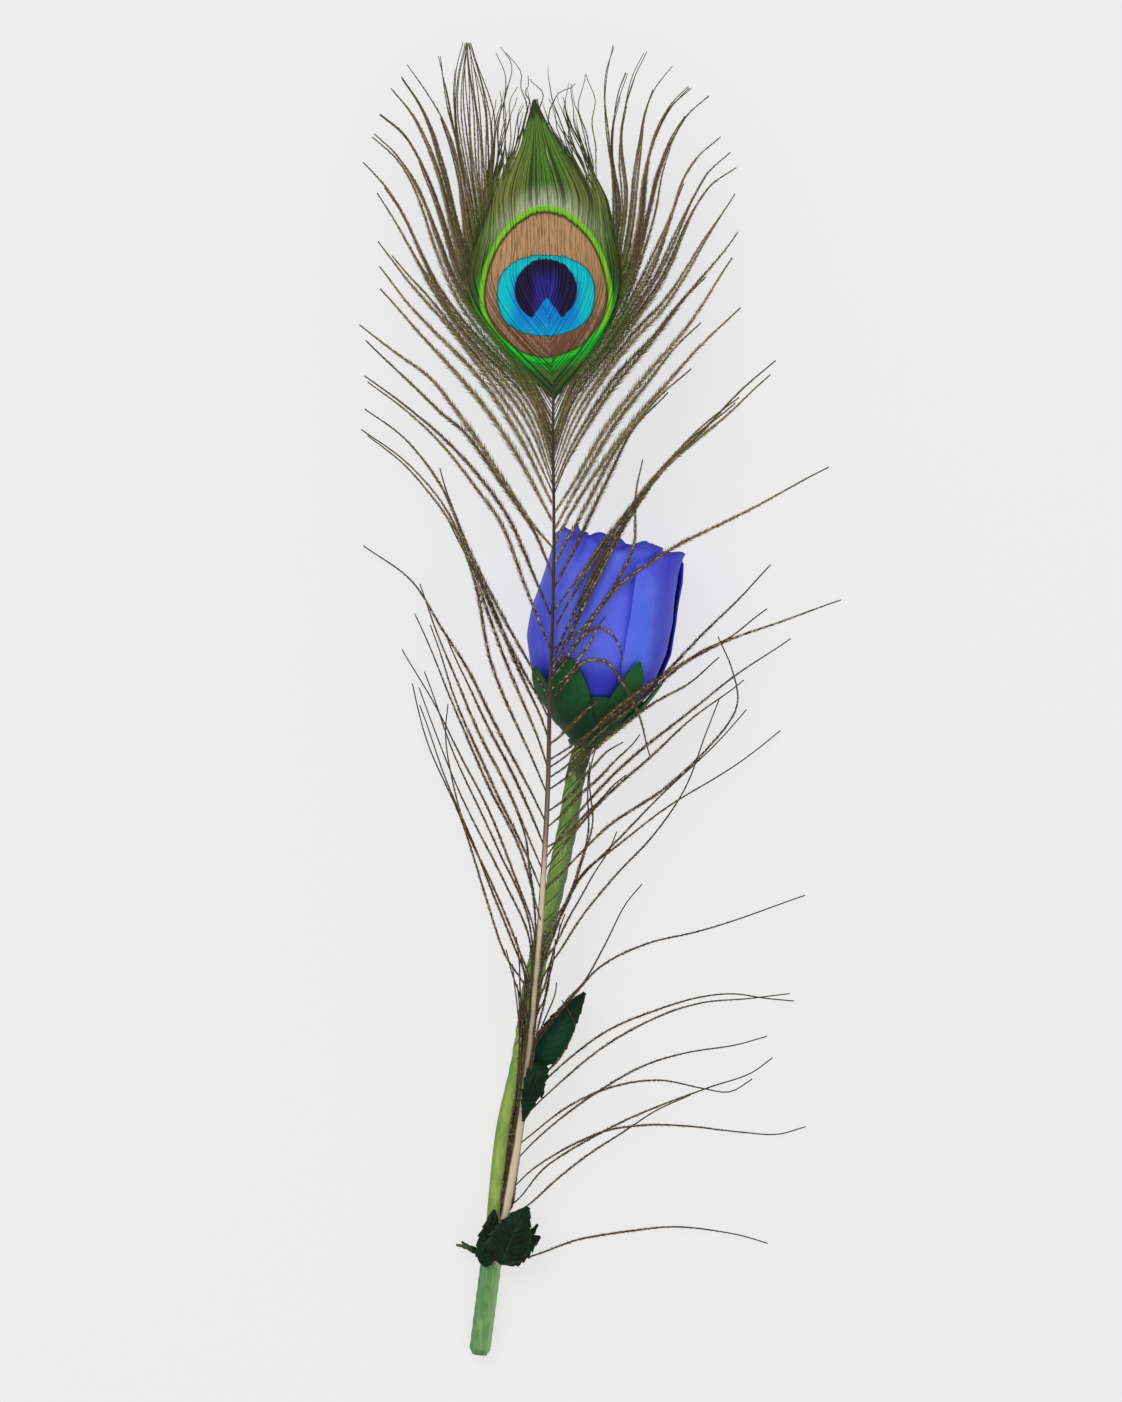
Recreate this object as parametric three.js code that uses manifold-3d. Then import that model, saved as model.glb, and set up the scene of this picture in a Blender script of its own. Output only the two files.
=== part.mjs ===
// A peacock eye feather and an artificial rosebud on one taped stem, bound together at the foot
// and laid down on a flat surface. Millimetres, +Z up. +Y runs from the cut foot to the feather's
// tip and +X to the right of it. The surface is the plane Z = 0.
import * as THREE from "three";
import { mergeVertices } from "three/addons/utils/BufferGeometryUtils.js";
import Module from "manifold-3d";

const wasm = await Module();
wasm.setup();

// ---------- driving dimensions ----------

// Feather: the middle line of the shaft and quill, as [x, y, z, radius], from the eye's tip down.
const SHAFT_LINE = [
  [-6.5, 147.3, 21.0, 0.35], [-4.9, 123.0, 24.8, 0.4], [-3.8, 100.3, 27.5, 0.5],
  [-2.0, 80.3, 29.8, 0.55], [-2.0, 65.3, 31.5, 0.6], [-1.8, 50.3, 33.2, 0.65],
  [-1.8, 35.3, 34.4, 0.7], [-2.3, 15.3, 34.7, 0.75], [-2.8, 0.3, 32.7, 0.8],
  [-3.3, -22.3, 27.3, 0.85], [-4.8, -49.8, 21.0, 0.95], [-6.3, -69.8, 16.8, 1.0],
  [-8.0, -87.3, 13.4, 1.0], [-10.0, -104.8, 10.5, 1.0], [-12.8, -122.3, 7.9, 1.0],
  [-14.9, -133.0, 6.4, 0.9], [-17.3, -140.6, 4.7, 0.65], [-17.8, -145.0, 4.6, 0.6],
  [-18.4, -150.0, 4.6, 0.6],
];

// Feather: half widths of the vane round the eye, as [distance below its tip, left, right].
const VANE_TOP = 149;
const VANE_LENGTH = 70;
const VANE_THICKNESS = 0.8;
const VANE_SAG = 2.2;
const VANE_SAG_REACH = 18;
const VANE_WIDTHS = [
  [0, 0.5, 0.5], [0.05, 2.2, 2.2], [0.18, 8.2, 9.0], [0.34, 13.5, 15.0], [0.5, 19.2, 17.6],
  [0.62, 20.6, 17.8], [0.74, 17.5, 16.0], [0.86, 10.5, 10.5], [0.95, 4.2, 4.2], [1, 0.9, 0.9],
];

// Feather: locks of barbs that root on the shaft, as [root y, middle x, y, tip x, y, tip z].
const LOCK_WIDTH = 1.3;
const LOCK_THICKNESS = 0.9;
const LOCK_TIP = 0.45;
const LEFT_LOCKS = [
  [65.0, -34.0, 106.5, -49.3, 135.0, 9], [68.0, -30.8, 107.8, -47.0, 142.3, 11],
  [71.0, -28.3, 108.3, -45.5, 147.3, 8], [74.0, -26.4, 109.8, -42.3, 153.3, 12],
  [76.5, -24.8, 110.8, -39.8, 156.3, 10], [78.5, -23.0, 112.5, -38.3, 159.3, 14],
  [58.0, -26.5, 91.0, -45.8, 115.0, 11], [61.5, -29.5, 96.5, -46.8, 120.5, 8],
  [50.5, -27.8, 83.5, -45.5, 103.5, 9], [29.5, -25.0, 69.0, -50.3, 94.3, 10],
  [19.0, -20.0, 56.0, -48.8, 90.3, 13], [12.3, -22.5, 54.8, -49.5, 81.8, 7],
  [0.3, -23.5, 39.0, -49.5, 73.5, 5], [-23.5, -19.8, 20.0, -50.0, 68.3, 2],
  [-16.8, -16.0, 14.0, -30.3, 58.3, 12], [-9.8, -12.8, 12.8, -21.5, 34.0, 20],
  [-30.5, -22.8, 7.0, -49.5, 39.0, 0.7], [-42.8, -22.8, -2.8, -35.8, 29.5, 5],
  [-50.3, -24.5, -7.3, -37.0, 22.0, 3], [-56.0, -25.3, -13.5, -39.8, 12.8, 0.7],
  [-62.3, -21.5, -31.0, -35.5, 3.3, 4], [-72.3, -27.0, -25.0, -37.3, 4.3, 0.7],
  [-36.8, -16.5, -9.8, -28.3, 15.3, 12], [-71.0, -24.3, -28.5, -28.5, -0.8, 6],
];
const RIGHT_LOCKS = [
  [74.0, 16.3, 104.0, 27.8, 159.0, 13], [72.0, 17.8, 102.8, 32.3, 153.8, 10],
  [70.0, 19.6, 102.0, 37.3, 151.5, 12], [67.8, 21.3, 100.8, 39.8, 141.5, 9],
  [65.3, 22.8, 99.3, 42.0, 137.5, 11], [62.8, 24.2, 97.3, 43.5, 134.0, 8],
  [60.3, 25.4, 94.5, 43.5, 127.0, 12], [52.8, 21.0, 87.8, 44.0, 117.5, 9],
  [46.5, 21.0, 80.8, 43.0, 111.0, 12], [38.3, 19.3, 71.0, 44.8, 98.8, 10],
  [16.5, 21.0, 53.5, 53.8, 85.5, 9], [25.0, 23.0, 58.5, 52.5, 81.8, 12],
  [8.0, 24.0, 37.5, 67.3, 58.5, 15], [-18.5, 27.8, 9.0, 52.8, 34.0, 12],
  [-16.8, 29.8, 11.8, 70.5, 25.3, 9], [-39.8, 27.3, -6.5, 57.5, 15.8, 4],
  [-42.3, 20.5, -15.8, 45.8, 5.3, 9], [-46.0, 21.0, -25.3, 44.0, 0.3, 5],
  [-51.0, 17.8, -30.5, 46.8, -2.3, 3], [-58.5, 15.5, -36.0, 55.3, -7.5, 0.7],
  [-64.3, 19.3, -40.5, 39.8, 0.8, 7], [-77.3, 8.0, -66.0, 20.3, -46.0, 9],
  [-83.5, 15.0, -64.0, 61.5, -49.0, 0.7], [-97.8, 13.5, -80.0, 58.5, -75.5, 2],
  [-104.3, 14.0, -85.5, 57.8, -73.8, 5], [-114.8, 16.0, -94.0, 52.0, -84.5, 3],
  [-111.0, 15.8, -95.6, 47.8, -95.0, 6], [-127.0, 14.8, -106.0, 53.0, -89.8, 3],
  [-128.5, 7.5, -113.8, 32.3, -99.3, 1.5], [-122.0, 11.0, -107.8, 61.5, -107.3, 0.7],
  [-140.0, 18.5, -133.4, 52.3, -136.8, 0.7],
];
// Feather: locks that come out of the vane, as [root x, y, middle x, y, tip x, y, tip z].
const VANE_LOCKS = [
  [-18.5, 112.0, -26.5, 139.0, -30.5, 161.5, 13], [-15.0, 118.0, -24.5, 145.0, -24.3, 164.6, 15],
  [-12.5, 124.0, -18.5, 150.0, -23.5, 164.8, 12], [-10.5, 131.0, -13.3, 150.0, -15.3, 163.5, 16],
  [-8.5, 137.0, -9.6, 151.5, -13.3, 162.3, 14], [-1.5, 134.0, -2.8, 148.0, 3.0, 154.2, 17],
  [4.5, 130.0, 4.8, 146.0, 6.5, 157.2, 14], [8.0, 122.0, 10.8, 148.0, 13.0, 164.3, 16],
  [10.5, 116.0, 13.0, 143.0, 16.5, 157.3, 12], [11.5, 112.0, 15.5, 146.0, 21.5, 162.8, 15],
  [12.5, 108.0, 18.8, 140.0, 24.3, 157.3, 11],
];

// Rosebud: its axis lies level, and its radius at each distance from the calyx's foot.
const BUD_FOOT = new THREE.Vector3(6.0, -9.8, 18.3);
const BUD_TILT = THREE.MathUtils.degToRad(7.5);
const BUD_LENGTH = 51;
const BUD_PROFILE = [
  [0, 2.4], [4, 7.0], [10, 12.0], [16, 15.0], [24, 17.3], [32, 17.9], [42, 17.2], [51, 15.6],
];
const PETAL_THICKNESS = 0.85;
const PETAL_LIFT = 2.0;
// Rosebud: layers of overlapping petals. Scale is the layer's share of the bud's radius, arc the
// width of a petal in degrees, and from and to its reach along the axis.
const PETAL_LAYERS = [
  { name: "outer_petal", count: 5, scale: 1, arc: 104, first: 232, from: 2, to: 49.5, flare: 1.2 },
  { name: "middle_petal", count: 4, scale: 0.78, arc: 124, first: 20, from: 4, to: 50.5, flare: 0.6 },
  { name: "inner_petal", count: 3, scale: 0.54, arc: 160, first: 75, from: 7, to: 49, flare: 0.2 },
];
const PETAL_FOOT = 0.55;
const HEART_RADIUS = 3.6;
const HEART_FROM = 9;
const RUFFLE = 1.1;

// Calyx: a cup round the bud's foot, and the angle, reach and half width of each sepal.
const CUP_FOOT = -1.5;
const CUP_FOOT_RADIUS = 3.1;
const CUP_HEIGHT = 7;
const CUP_CLEARANCE = 1.4;
const CUP_WALL = 0.9;
const SEPALS = [
  [148, 19.5, 3.6], [112, 20.5, 4.6], [57, 21.0, 4.2], [5, 17.5, 4.0], [-60, 18.5, 4.2],
  [-118, 16.5, 4.0],
];

// Stem: its middle line, as [x, y, z, radius], from the calyx down into the binding.
const STEM_LINE = [
  [5.7, -11.8, 18.2, 2.3], [4.0, -17.0, 17.6, 2.4], [1.5, -32.3, 15.4, 2.4],
  [-3.4, -54.8, 12.6, 2.4], [-6.9, -70.0, 10.7, 2.4], [-10.0, -89.8, 8.2, 2.4],
  [-14.0, -107.3, 5.9, 2.4], [-16.0, -124.8, 3.9, 2.4], [-16.7, -132.5, 3.1, 2.3],
  [-17.2, -137.0, 2.5, 1.5], [-17.6, -143.0, 2.2, 1.4], [-18.7, -151.0, 2.2, 1.4],
];

// Binding: an upright six-sided sleeve with a flat under face, from its upper to its lower end.
const BINDING_TOP = [-17.5, -140.6];
const BINDING_FOOT = [-20.6, -164.6];
const BINDING_HALF_WIDTH = 2.7;
const BINDING_HALF_FLAT = 1.5;
const BINDING_HEIGHT = 6.2;
const POCKET_DEPTH = 13;
// Binding: the right half of the pocket's outline in its upper end, as [across, height].
const POCKET_SIDE = [[1.1, 0.5], [1.9, 1.4], [1.9, 3.2], [1.1, 5.7]];

// Leaves: their middle lines, from the foot to the tip.
const LEAF_THICKNESS = 0.7;
const LEAF_TEETH = 4;
const LEAVES = [
  { name: "upper_leaf", halfWidth: 3.4,
    line: [[-6.1, -91.2, 8.8], [-3.2, -87.0, 9.4], [0.4, -81.0, 9.4], [5.8, -73.3, 9.2]] },
  { name: "middle_leaf", halfWidth: 2.4,
    line: [[-5.0, -90.4, 10.3], [-5.6, -92.4, 14.8], [-7.6, -98.5, 15.0], [-9.3, -105.2, 13.4]] },
  { name: "lower_leaf_front", halfWidth: 4.4,
    line: [[-15.0, -141.3, 8.6], [-13.5, -137.5, 10.4], [-11.3, -132.5, 10.9], [-8.0, -127.2, 9.8]] },
  { name: "lower_leaf_right", halfWidth: 2.6,
    line: [[-14.2, -141.2, 6.9], [-11.5, -138.8, 8.1], [-8.5, -136.0, 8.2], [-5.4, -133.0, 7.4]] },
  { name: "lower_leaf_left", halfWidth: 2.6,
    line: [[-18.9, -142.0, 7.0], [-18.6, -138.0, 7.9], [-17.6, -133.0, 8.0], [-16.8, -128.0, 7.6]] },
  { name: "bract", halfWidth: 1.1,
    line: [[-19.9, -139.4, 3.8], [-21.5, -138.4, 4.2], [-23.5, -137.4, 4.2], [-25.3, -136.8, 3.6]] },
];

// How finely the pieces are faceted, and small allowances.
const LOCK_POINTS = 12;
const LOCK_STEPS = 6;
const DROOP = 1.7;
const BARB_LIFT = 2.8;
const CALYX_LIFT = 4.0;
const CALYX_REACH = 22;
const PETAL_ACROSS = 7;
const PETAL_ALONG = 6;
const RIM_CORNER = 3.2;

const COLOURS = {
  feather: 0x5b4a33, petal: 0x4b4fd8, calyx: 0x1f4d2b, stem: 0x7ba348, binding: 0x4c8558,
  leaf: 0x17301f,
};

// ---------- helpers ----------

const UP = new THREE.Vector3(0, 0, 1);
const vector = (point) => new THREE.Vector3(point[0], point[1], point[2]);
const smooth = (low, high, x) => THREE.MathUtils.smoothstep(x, low, high);

// The value at x of a list of [x, value, ...] rows, between which it runs straight.
function tableAt(rows, x, column = 1) {
  const next = rows.findIndex((row) => row[0] >= x);
  if (next === 0) return rows[0][column];
  if (next < 0) return rows[rows.length - 1][column];
  const [low, high] = [rows[next - 1], rows[next]];
  return THREE.MathUtils.mapLinear(x, low[0], high[0], low[column], high[column]);
}

// One closed body with shared corners, turned so that its faces point out.
function closed(geometry) {
  geometry.deleteAttribute("normal");
  geometry.deleteAttribute("uv");
  const body = mergeVertices(geometry, 1e-4);
  const [place, index] = [body.attributes.position, body.index.array];
  const [a, b, c] = [new THREE.Vector3(), new THREE.Vector3(), new THREE.Vector3()];
  const kept = [];
  let volume = 0;
  for (let i = 0; i < index.length; i += 3) {
    if (index[i] === index[i + 1] || index[i + 1] === index[i + 2] || index[i] === index[i + 2]) continue;
    a.fromBufferAttribute(place, index[i]);
    b.fromBufferAttribute(place, index[i + 1]);
    c.fromBufferAttribute(place, index[i + 2]);
    volume += a.dot(b.cross(c));
    kept.push(index[i], index[i + 1], index[i + 2]);
  }
  if (volume < 0) kept.reverse();
  body.setIndex(kept);
  return body;
}

const toManifold = (geometry) => {
  const body = closed(geometry);
  return new wasm.Manifold(new wasm.Mesh({
    numProp: 3,
    vertProperties: new Float32Array(body.attributes.position.array),
    triVerts: new Uint32Array(body.index.array),
  }));
};

function fromManifold(manifold) {
  const { vertProperties, triVerts } = manifold.getMesh();
  const geometry = new THREE.BufferGeometry();
  geometry.setAttribute("position", new THREE.BufferAttribute(vertProperties, 3));
  geometry.setIndex(new THREE.BufferAttribute(triVerts, 1));
  return geometry;
}

const joined = (geometries) => fromManifold(
  geometries.map(toManifold).reduce((whole, piece) => whole.add(piece)),
);

// Moves every corner of a geometry to place(u, v, w), with u and v from 0 to 1 across and along
// it and w from -1 to 1 through its thickness.
function mapped(geometry, place) {
  const position = geometry.attributes.position;
  for (let i = 0; i < position.count; i += 1) {
    const point = place(position.getX(i) + 0.5, position.getY(i) + 0.5, position.getZ(i) * 2);
    position.setXYZ(i, point.x, point.y, point.z);
  }
  return geometry;
}

// A thin sheet: a slab whose faces are shaped by mapped().
const sheet = (across, along, place) =>
  mapped(new THREE.BoxGeometry(1, 1, 1, across, along, 1), place);

// A rod along a curve. Its radius at t is reach(t), as { side, up } across and through it.
function rod(curve, sides, steps, reach) {
  const geometry = new THREE.CylinderGeometry(1, 1, 1, sides, steps);
  const position = geometry.attributes.position;
  for (let i = 0; i < position.count; i += 1) {
    const t = 0.5 - position.getY(i);
    const along = curve.getTangentAt(t);
    const side = new THREE.Vector3().crossVectors(along, UP).normalize();
    const up = new THREE.Vector3().crossVectors(side, along);
    const half = reach(t);
    const point = curve.getPointAt(t)
      .addScaledVector(side, position.getX(i) * half.side)
      .addScaledVector(up, position.getZ(i) * half.up);
    position.setXYZ(i, point.x, point.y, point.z);
  }
  return geometry;
}

// A round rod through [x, y, z, radius] points.
function roundRod(line, sides, steps) {
  const curve = new THREE.CatmullRomCurve3(line.map(vector));
  const lengths = line.map((_, i) => new THREE.CatmullRomCurve3(line.slice(0, i + 1).map(vector)));
  const total = curve.getLength();
  const radii = line.map((point, i) => [i === 0 ? 0 : lengths[i].getLength() / total, point[3]]);
  return rod(curve, sides, steps, (t) => {
    const radius = tableAt(radii, t);
    return { side: radius, up: radius };
  });
}

// ---------- rosebud ----------

const budRadius = (along) => tableAt(BUD_PROFILE, along);
const budAxis = new THREE.Vector3(Math.sin(BUD_TILT), Math.cos(BUD_TILT), 0);
const budSide = new THREE.Vector3(Math.cos(BUD_TILT), -Math.sin(BUD_TILT), 0);

// A point of the bud, by its distance along the axis, its distance from it and its angle, which
// is 90 degrees on top. Where the bud lies on the surface it is pressed flat.
function budPoint(along, radius, degrees) {
  const angle = THREE.MathUtils.degToRad(degrees);
  const point = BUD_FOOT.clone()
    .addScaledVector(budAxis, along)
    .addScaledVector(budSide, radius * Math.cos(angle))
    .addScaledVector(UP, radius * Math.sin(angle));
  point.z = Math.max(point.z, 0);
  return point;
}

// The height of the bud's upper side over a point of the plan, or nothing beside the bud.
function budTop(x, y) {
  const offset = new THREE.Vector3(x, y, BUD_FOOT.z).sub(BUD_FOOT);
  const along = THREE.MathUtils.clamp(offset.dot(budAxis), 0, BUD_LENGTH + 3);
  const aside = offset.dot(budSide);
  const beyond = Math.abs(offset.dot(budAxis) - along);
  const lift = along < CALYX_REACH ? CALYX_LIFT : BARB_LIFT;
  const radius = budRadius(Math.min(along, BUD_LENGTH)) + lift;
  const inside = radius * radius - aside * aside - beyond * beyond;
  return inside > 0 ? BUD_FOOT.z + Math.sqrt(inside) : 0;
}

function petal(layer, number) {
  const first = layer.first + (360 / layer.count) * number;
  return sheet(PETAL_ACROSS, PETAL_ALONG, (u, v, w) => {
    const spread = PETAL_FOOT + (1 - PETAL_FOOT) * smooth(0, 0.45, v);
    const corner = Math.pow(Math.abs(2 * u - 1), 3);
    const rim = layer.to - RIM_CORNER * corner + RUFFLE * Math.sin(9 * u + 2.1 * number);
    const along = layer.from + (rim - layer.from) * v;
    const lift = PETAL_LIFT * smooth(0, 0.25, v) * (0.5 - u);
    const flare = layer.flare * Math.pow(v, 6);
    const radius = budRadius(along) * layer.scale + lift + flare + (w - 1) * PETAL_THICKNESS / 2;
    return budPoint(along, radius, first + layer.arc * spread * (0.5 - u));
  });
}

function heart() {
  const profile = [
    [0, HEART_FROM], [HEART_RADIUS * 0.8, HEART_FROM], [HEART_RADIUS, 25], [HEART_RADIUS, 44],
    [HEART_RADIUS * 0.7, 48.5], [0, 47.6],
  ];
  return turned(profile, 10);
}

// A turned shape about the bud's axis, from [radius, distance along the axis] rows.
function turned(profile, segments) {
  const lathe = new THREE.LatheGeometry(profile.map(([r, along]) => new THREE.Vector2(r, along)), segments);
  const basis = new THREE.Matrix4().makeBasis(budSide, budAxis, UP.clone());
  return lathe.applyMatrix4(basis.setPosition(BUD_FOOT));
}

// ---------- calyx ----------

function calyx() {
  const outer = (along) => [budRadius(along) + CUP_CLEARANCE + CUP_WALL, along];
  const inner = (along) => [budRadius(along) + CUP_CLEARANCE, along];
  const cup = turned([
    [0, CUP_FOOT], [CUP_FOOT_RADIUS, CUP_FOOT], outer(0.8), outer(4), outer(CUP_HEIGHT),
    inner(CUP_HEIGHT), inner(4), inner(1), [0, 0.8],
  ], 16);
  const sepals = SEPALS.map(([degrees, reach, halfWidth]) => sheet(2, 5, (u, v, w) => {
    const from = CUP_HEIGHT - 1.2;
    const along = from + (reach - from) * v;
    const taper = Math.max(0.06, Math.pow(1 - v, 0.62));
    const radius = budRadius(along) + CUP_CLEARANCE + CUP_WALL * (0.5 + 0.35 * w) + 0.5 * v * v;
    const turn = THREE.MathUtils.radToDeg((halfWidth * taper * (1 - 2 * u)) / radius);
    return budPoint(along, radius, degrees + turn);
  }));
  return joined([cup, ...sepals]);
}

// ---------- feather ----------

const shaftCurve = new THREE.CatmullRomCurve3(SHAFT_LINE.map(vector));
const shaftRows = SHAFT_LINE.map(([x, y, z]) => [-y, x, z]);
const shaftAt = (y) => new THREE.Vector3(tableAt(shaftRows, -y, 1), y, tableAt(shaftRows, -y, 2));

function lock(root, middle, tip, steps) {
  const chord = new THREE.Vector2(tip[0] - root.x, tip[1] - root.y).length();
  const half = new THREE.Vector2(middle[0] - root.x, middle[1] - root.y).length();
  const share = THREE.MathUtils.clamp(half / chord, 0.3, 0.7);
  // the plan is the parabola through the three points
  const bend = (a, b, c, t) => {
    const control = (b - (1 - share) ** 2 * a - share ** 2 * c) / (2 * share * (1 - share));
    return (1 - t) ** 2 * a + 2 * t * (1 - t) * control + t * t * c;
  };
  const points = [];
  for (let i = 0; i <= LOCK_POINTS; i += 1) {
    const t = i / LOCK_POINTS;
    const x = bend(root.x, middle[0], tip[0], t);
    const y = bend(root.y, middle[1], tip[1], t);
    const fall = root.z + (tip[2] - root.z) * t ** DROOP;
    points.push(new THREE.Vector3(x, y, Math.max(fall, budTop(x, y))));
  }
  const overBud = points.some((point) => point.z === budTop(point.x, point.y));
  const curve = new THREE.CatmullRomCurve3(points);
  return rod(curve, 3, overBud ? steps + 4 : steps, (t) => {
    const taper = Math.min(1, LOCK_TIP + (1 - LOCK_TIP) * 4 * (1 - t));
    return { side: (LOCK_WIDTH / 2) * taper, up: (LOCK_THICKNESS / 2) * taper };
  });
}

const vaneSag = (aside) => VANE_SAG * (aside / VANE_SAG_REACH) ** 2;

function vane() {
  return sheet(6, 12, (u, v, w) => {
    const middle = shaftAt(VANE_TOP - VANE_LENGTH * v);
    const side = 2 * u - 1;
    const half = tableAt(VANE_WIDTHS, v, side < 0 ? 1 : 2);
    const z = middle.z - vaneSag(side * half) + (w * VANE_THICKNESS) / 2;
    return new THREE.Vector3(middle.x + side * half, middle.y, z);
  });
}

function feather() {
  const rooted = [...LEFT_LOCKS, ...RIGHT_LOCKS].map(([rootY, x, y, ...tip]) =>
    lock(shaftAt(rootY), [x, y], tip, LOCK_STEPS));
  const eye = VANE_LOCKS.map(([rootX, rootY, x, y, ...tip]) => {
    const middle = shaftAt(rootY);
    return lock(new THREE.Vector3(rootX, rootY, middle.z - vaneSag(rootX - middle.x)), [x, y], tip, 5);
  });
  return joined([roundRod(SHAFT_LINE, 6, 40), vane(), ...rooted, ...eye]);
}

// ---------- stem, binding and leaves ----------

const stem = () => roundRod(STEM_LINE, 8, 18);

function binding() {
  const [top, foot] = [new THREE.Vector2(...BINDING_TOP), new THREE.Vector2(...BINDING_FOOT)];
  const length = foot.distanceTo(top);
  const middle = BINDING_HEIGHT / 2;
  const outline = new THREE.Shape([
    new THREE.Vector2(-BINDING_HALF_FLAT, 0), new THREE.Vector2(BINDING_HALF_FLAT, 0),
    new THREE.Vector2(BINDING_HALF_WIDTH, middle), new THREE.Vector2(BINDING_HALF_FLAT, BINDING_HEIGHT),
    new THREE.Vector2(-BINDING_HALF_FLAT, BINDING_HEIGHT), new THREE.Vector2(-BINDING_HALF_WIDTH, middle),
  ]);
  const hollow = new THREE.Shape([
    ...POCKET_SIDE.map(([across, height]) => new THREE.Vector2(across, height)),
    ...POCKET_SIDE.toReversed().map(([across, height]) => new THREE.Vector2(-across, height)),
  ]);
  const body = new THREE.ExtrudeGeometry(outline, { depth: length, bevelEnabled: false });
  const pocket = new THREE.ExtrudeGeometry(hollow, { depth: POCKET_DEPTH + 1, bevelEnabled: false });
  pocket.translate(0, 0, -1);
  // the sleeve runs along -Y before it is turned to its place
  const place = new THREE.Matrix4().makeTranslation(top.x, top.y, 0)
    .multiply(new THREE.Matrix4().makeRotationZ(Math.atan2(foot.y - top.y, foot.x - top.x) + Math.PI / 2))
    .multiply(new THREE.Matrix4().makeRotationX(Math.PI / 2));
  return fromManifold(toManifold(body).subtract(toManifold(pocket))).applyMatrix4(place);
}

function leaf({ line, halfWidth }) {
  const curve = new THREE.CatmullRomCurve3(line.map(vector));
  return sheet(2, LEAF_TEETH * 2, (u, v, w) => {
    const along = curve.getTangentAt(v);
    const side = new THREE.Vector3().crossVectors(along, UP).normalize();
    const up = new THREE.Vector3().crossVectors(side, along);
    const tooth = Math.round(v * LEAF_TEETH * 2) % 2 === 0 ? 1 : 1.22;
    const half = halfWidth * tooth * Math.max(0.12, Math.sin(Math.PI * v ** 0.8) ** 0.8);
    return curve.getPointAt(v)
      .addScaledVector(side, (2 * u - 1) * half)
      .addScaledVector(up, (w * LEAF_THICKNESS) / 2 - (2 * u - 1) ** 2 * halfWidth * 0.15);
  });
}

// ---------- the bunch ----------

const bunch = new THREE.Group();

function add(name, geometry, colour, roughness) {
  const material = new THREE.MeshStandardMaterial({ color: colour, roughness });
  const mesh = new THREE.Mesh(closed(geometry), material);
  mesh.name = name;
  bunch.add(mesh);
}

add("feather", feather(), COLOURS.feather, 0.6);
for (const layer of PETAL_LAYERS) {
  for (let number = 0; number < layer.count; number += 1) {
    add(`${layer.name}_${number + 1}`, petal(layer, number), COLOURS.petal, 0.5);
  }
}
add("heart_petal", heart(), COLOURS.petal, 0.5);
add("calyx", calyx(), COLOURS.calyx, 0.6);
add("stem", stem(), COLOURS.stem, 0.6);
add("binding", binding(), COLOURS.binding, 0.6);
for (const shape of LEAVES) add(shape.name, leaf(shape), COLOURS.leaf, 0.7);

// The origin is the middle of the bunch's footprint, on the surface.
const footprint = new THREE.Box3().setFromObject(bunch);
const centre = footprint.getCenter(new THREE.Vector3());
bunch.position.set(-centre.x, -centre.y, 0);
bunch.updateMatrixWorld(true);

export default bunch;
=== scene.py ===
"""A peacock eye feather and an artificial rosebud, bound on one taped stem and laid on a surface.

Every length is in millimetres in the lists and settings, and in metres in the meshes. The lists
use the maker's own drawing axes, with +Y towards the feather's tip. DRAWING_SHIFT takes them to
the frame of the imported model.
"""
import math
from functools import partial

import bmesh
import bpy
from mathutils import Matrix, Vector


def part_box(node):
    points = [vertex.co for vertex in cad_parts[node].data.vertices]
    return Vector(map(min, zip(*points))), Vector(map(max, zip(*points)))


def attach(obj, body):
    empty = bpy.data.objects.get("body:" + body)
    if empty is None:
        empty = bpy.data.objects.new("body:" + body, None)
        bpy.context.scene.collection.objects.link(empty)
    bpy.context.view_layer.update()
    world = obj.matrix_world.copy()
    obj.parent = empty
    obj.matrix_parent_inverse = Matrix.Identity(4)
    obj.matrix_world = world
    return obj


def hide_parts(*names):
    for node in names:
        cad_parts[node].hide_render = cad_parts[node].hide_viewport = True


bl_info = {
    "name": "Peacock Feather Bunch",
    "version": (1, 0, 0),
    "blender": (4, 5, 0),
    "location": "View3D > Sidebar > Feather",
    "description": "Builds a peacock eye feather with a rosebud on a taped stem",
    "category": "Add Mesh",
}

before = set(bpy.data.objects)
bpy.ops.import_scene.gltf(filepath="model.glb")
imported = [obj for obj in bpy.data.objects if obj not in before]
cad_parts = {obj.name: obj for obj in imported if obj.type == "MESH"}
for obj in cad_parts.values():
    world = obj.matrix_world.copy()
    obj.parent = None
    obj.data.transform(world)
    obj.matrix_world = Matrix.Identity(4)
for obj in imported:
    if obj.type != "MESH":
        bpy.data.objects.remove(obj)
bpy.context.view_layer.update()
BODY = "root"
MM = 0.001

# The binding is a straight prism between two known points of the drawing, so the middle of its
# box tells how far the drawing lies from the frame's origin.
BINDING_TOP = Vector((-17.5, -140.6))
BINDING_FOOT = Vector((-20.6, -164.6))


def drawing_shift():
    low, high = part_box("binding")
    middle = (low + high) / 2 / MM
    drawn = (BINDING_TOP + BINDING_FOOT) / 2
    return Vector((middle.x - drawn.x, middle.y - drawn.y, 0.0))


DRAWING_SHIFT = drawing_shift()


def placed(x, y, z):
    """A point of the drawing, in metres in the frame."""
    return (Vector((x, y, z)) + DRAWING_SHIFT) * MM


# ---------------------------------------------------------------- shapes of the feather

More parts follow.
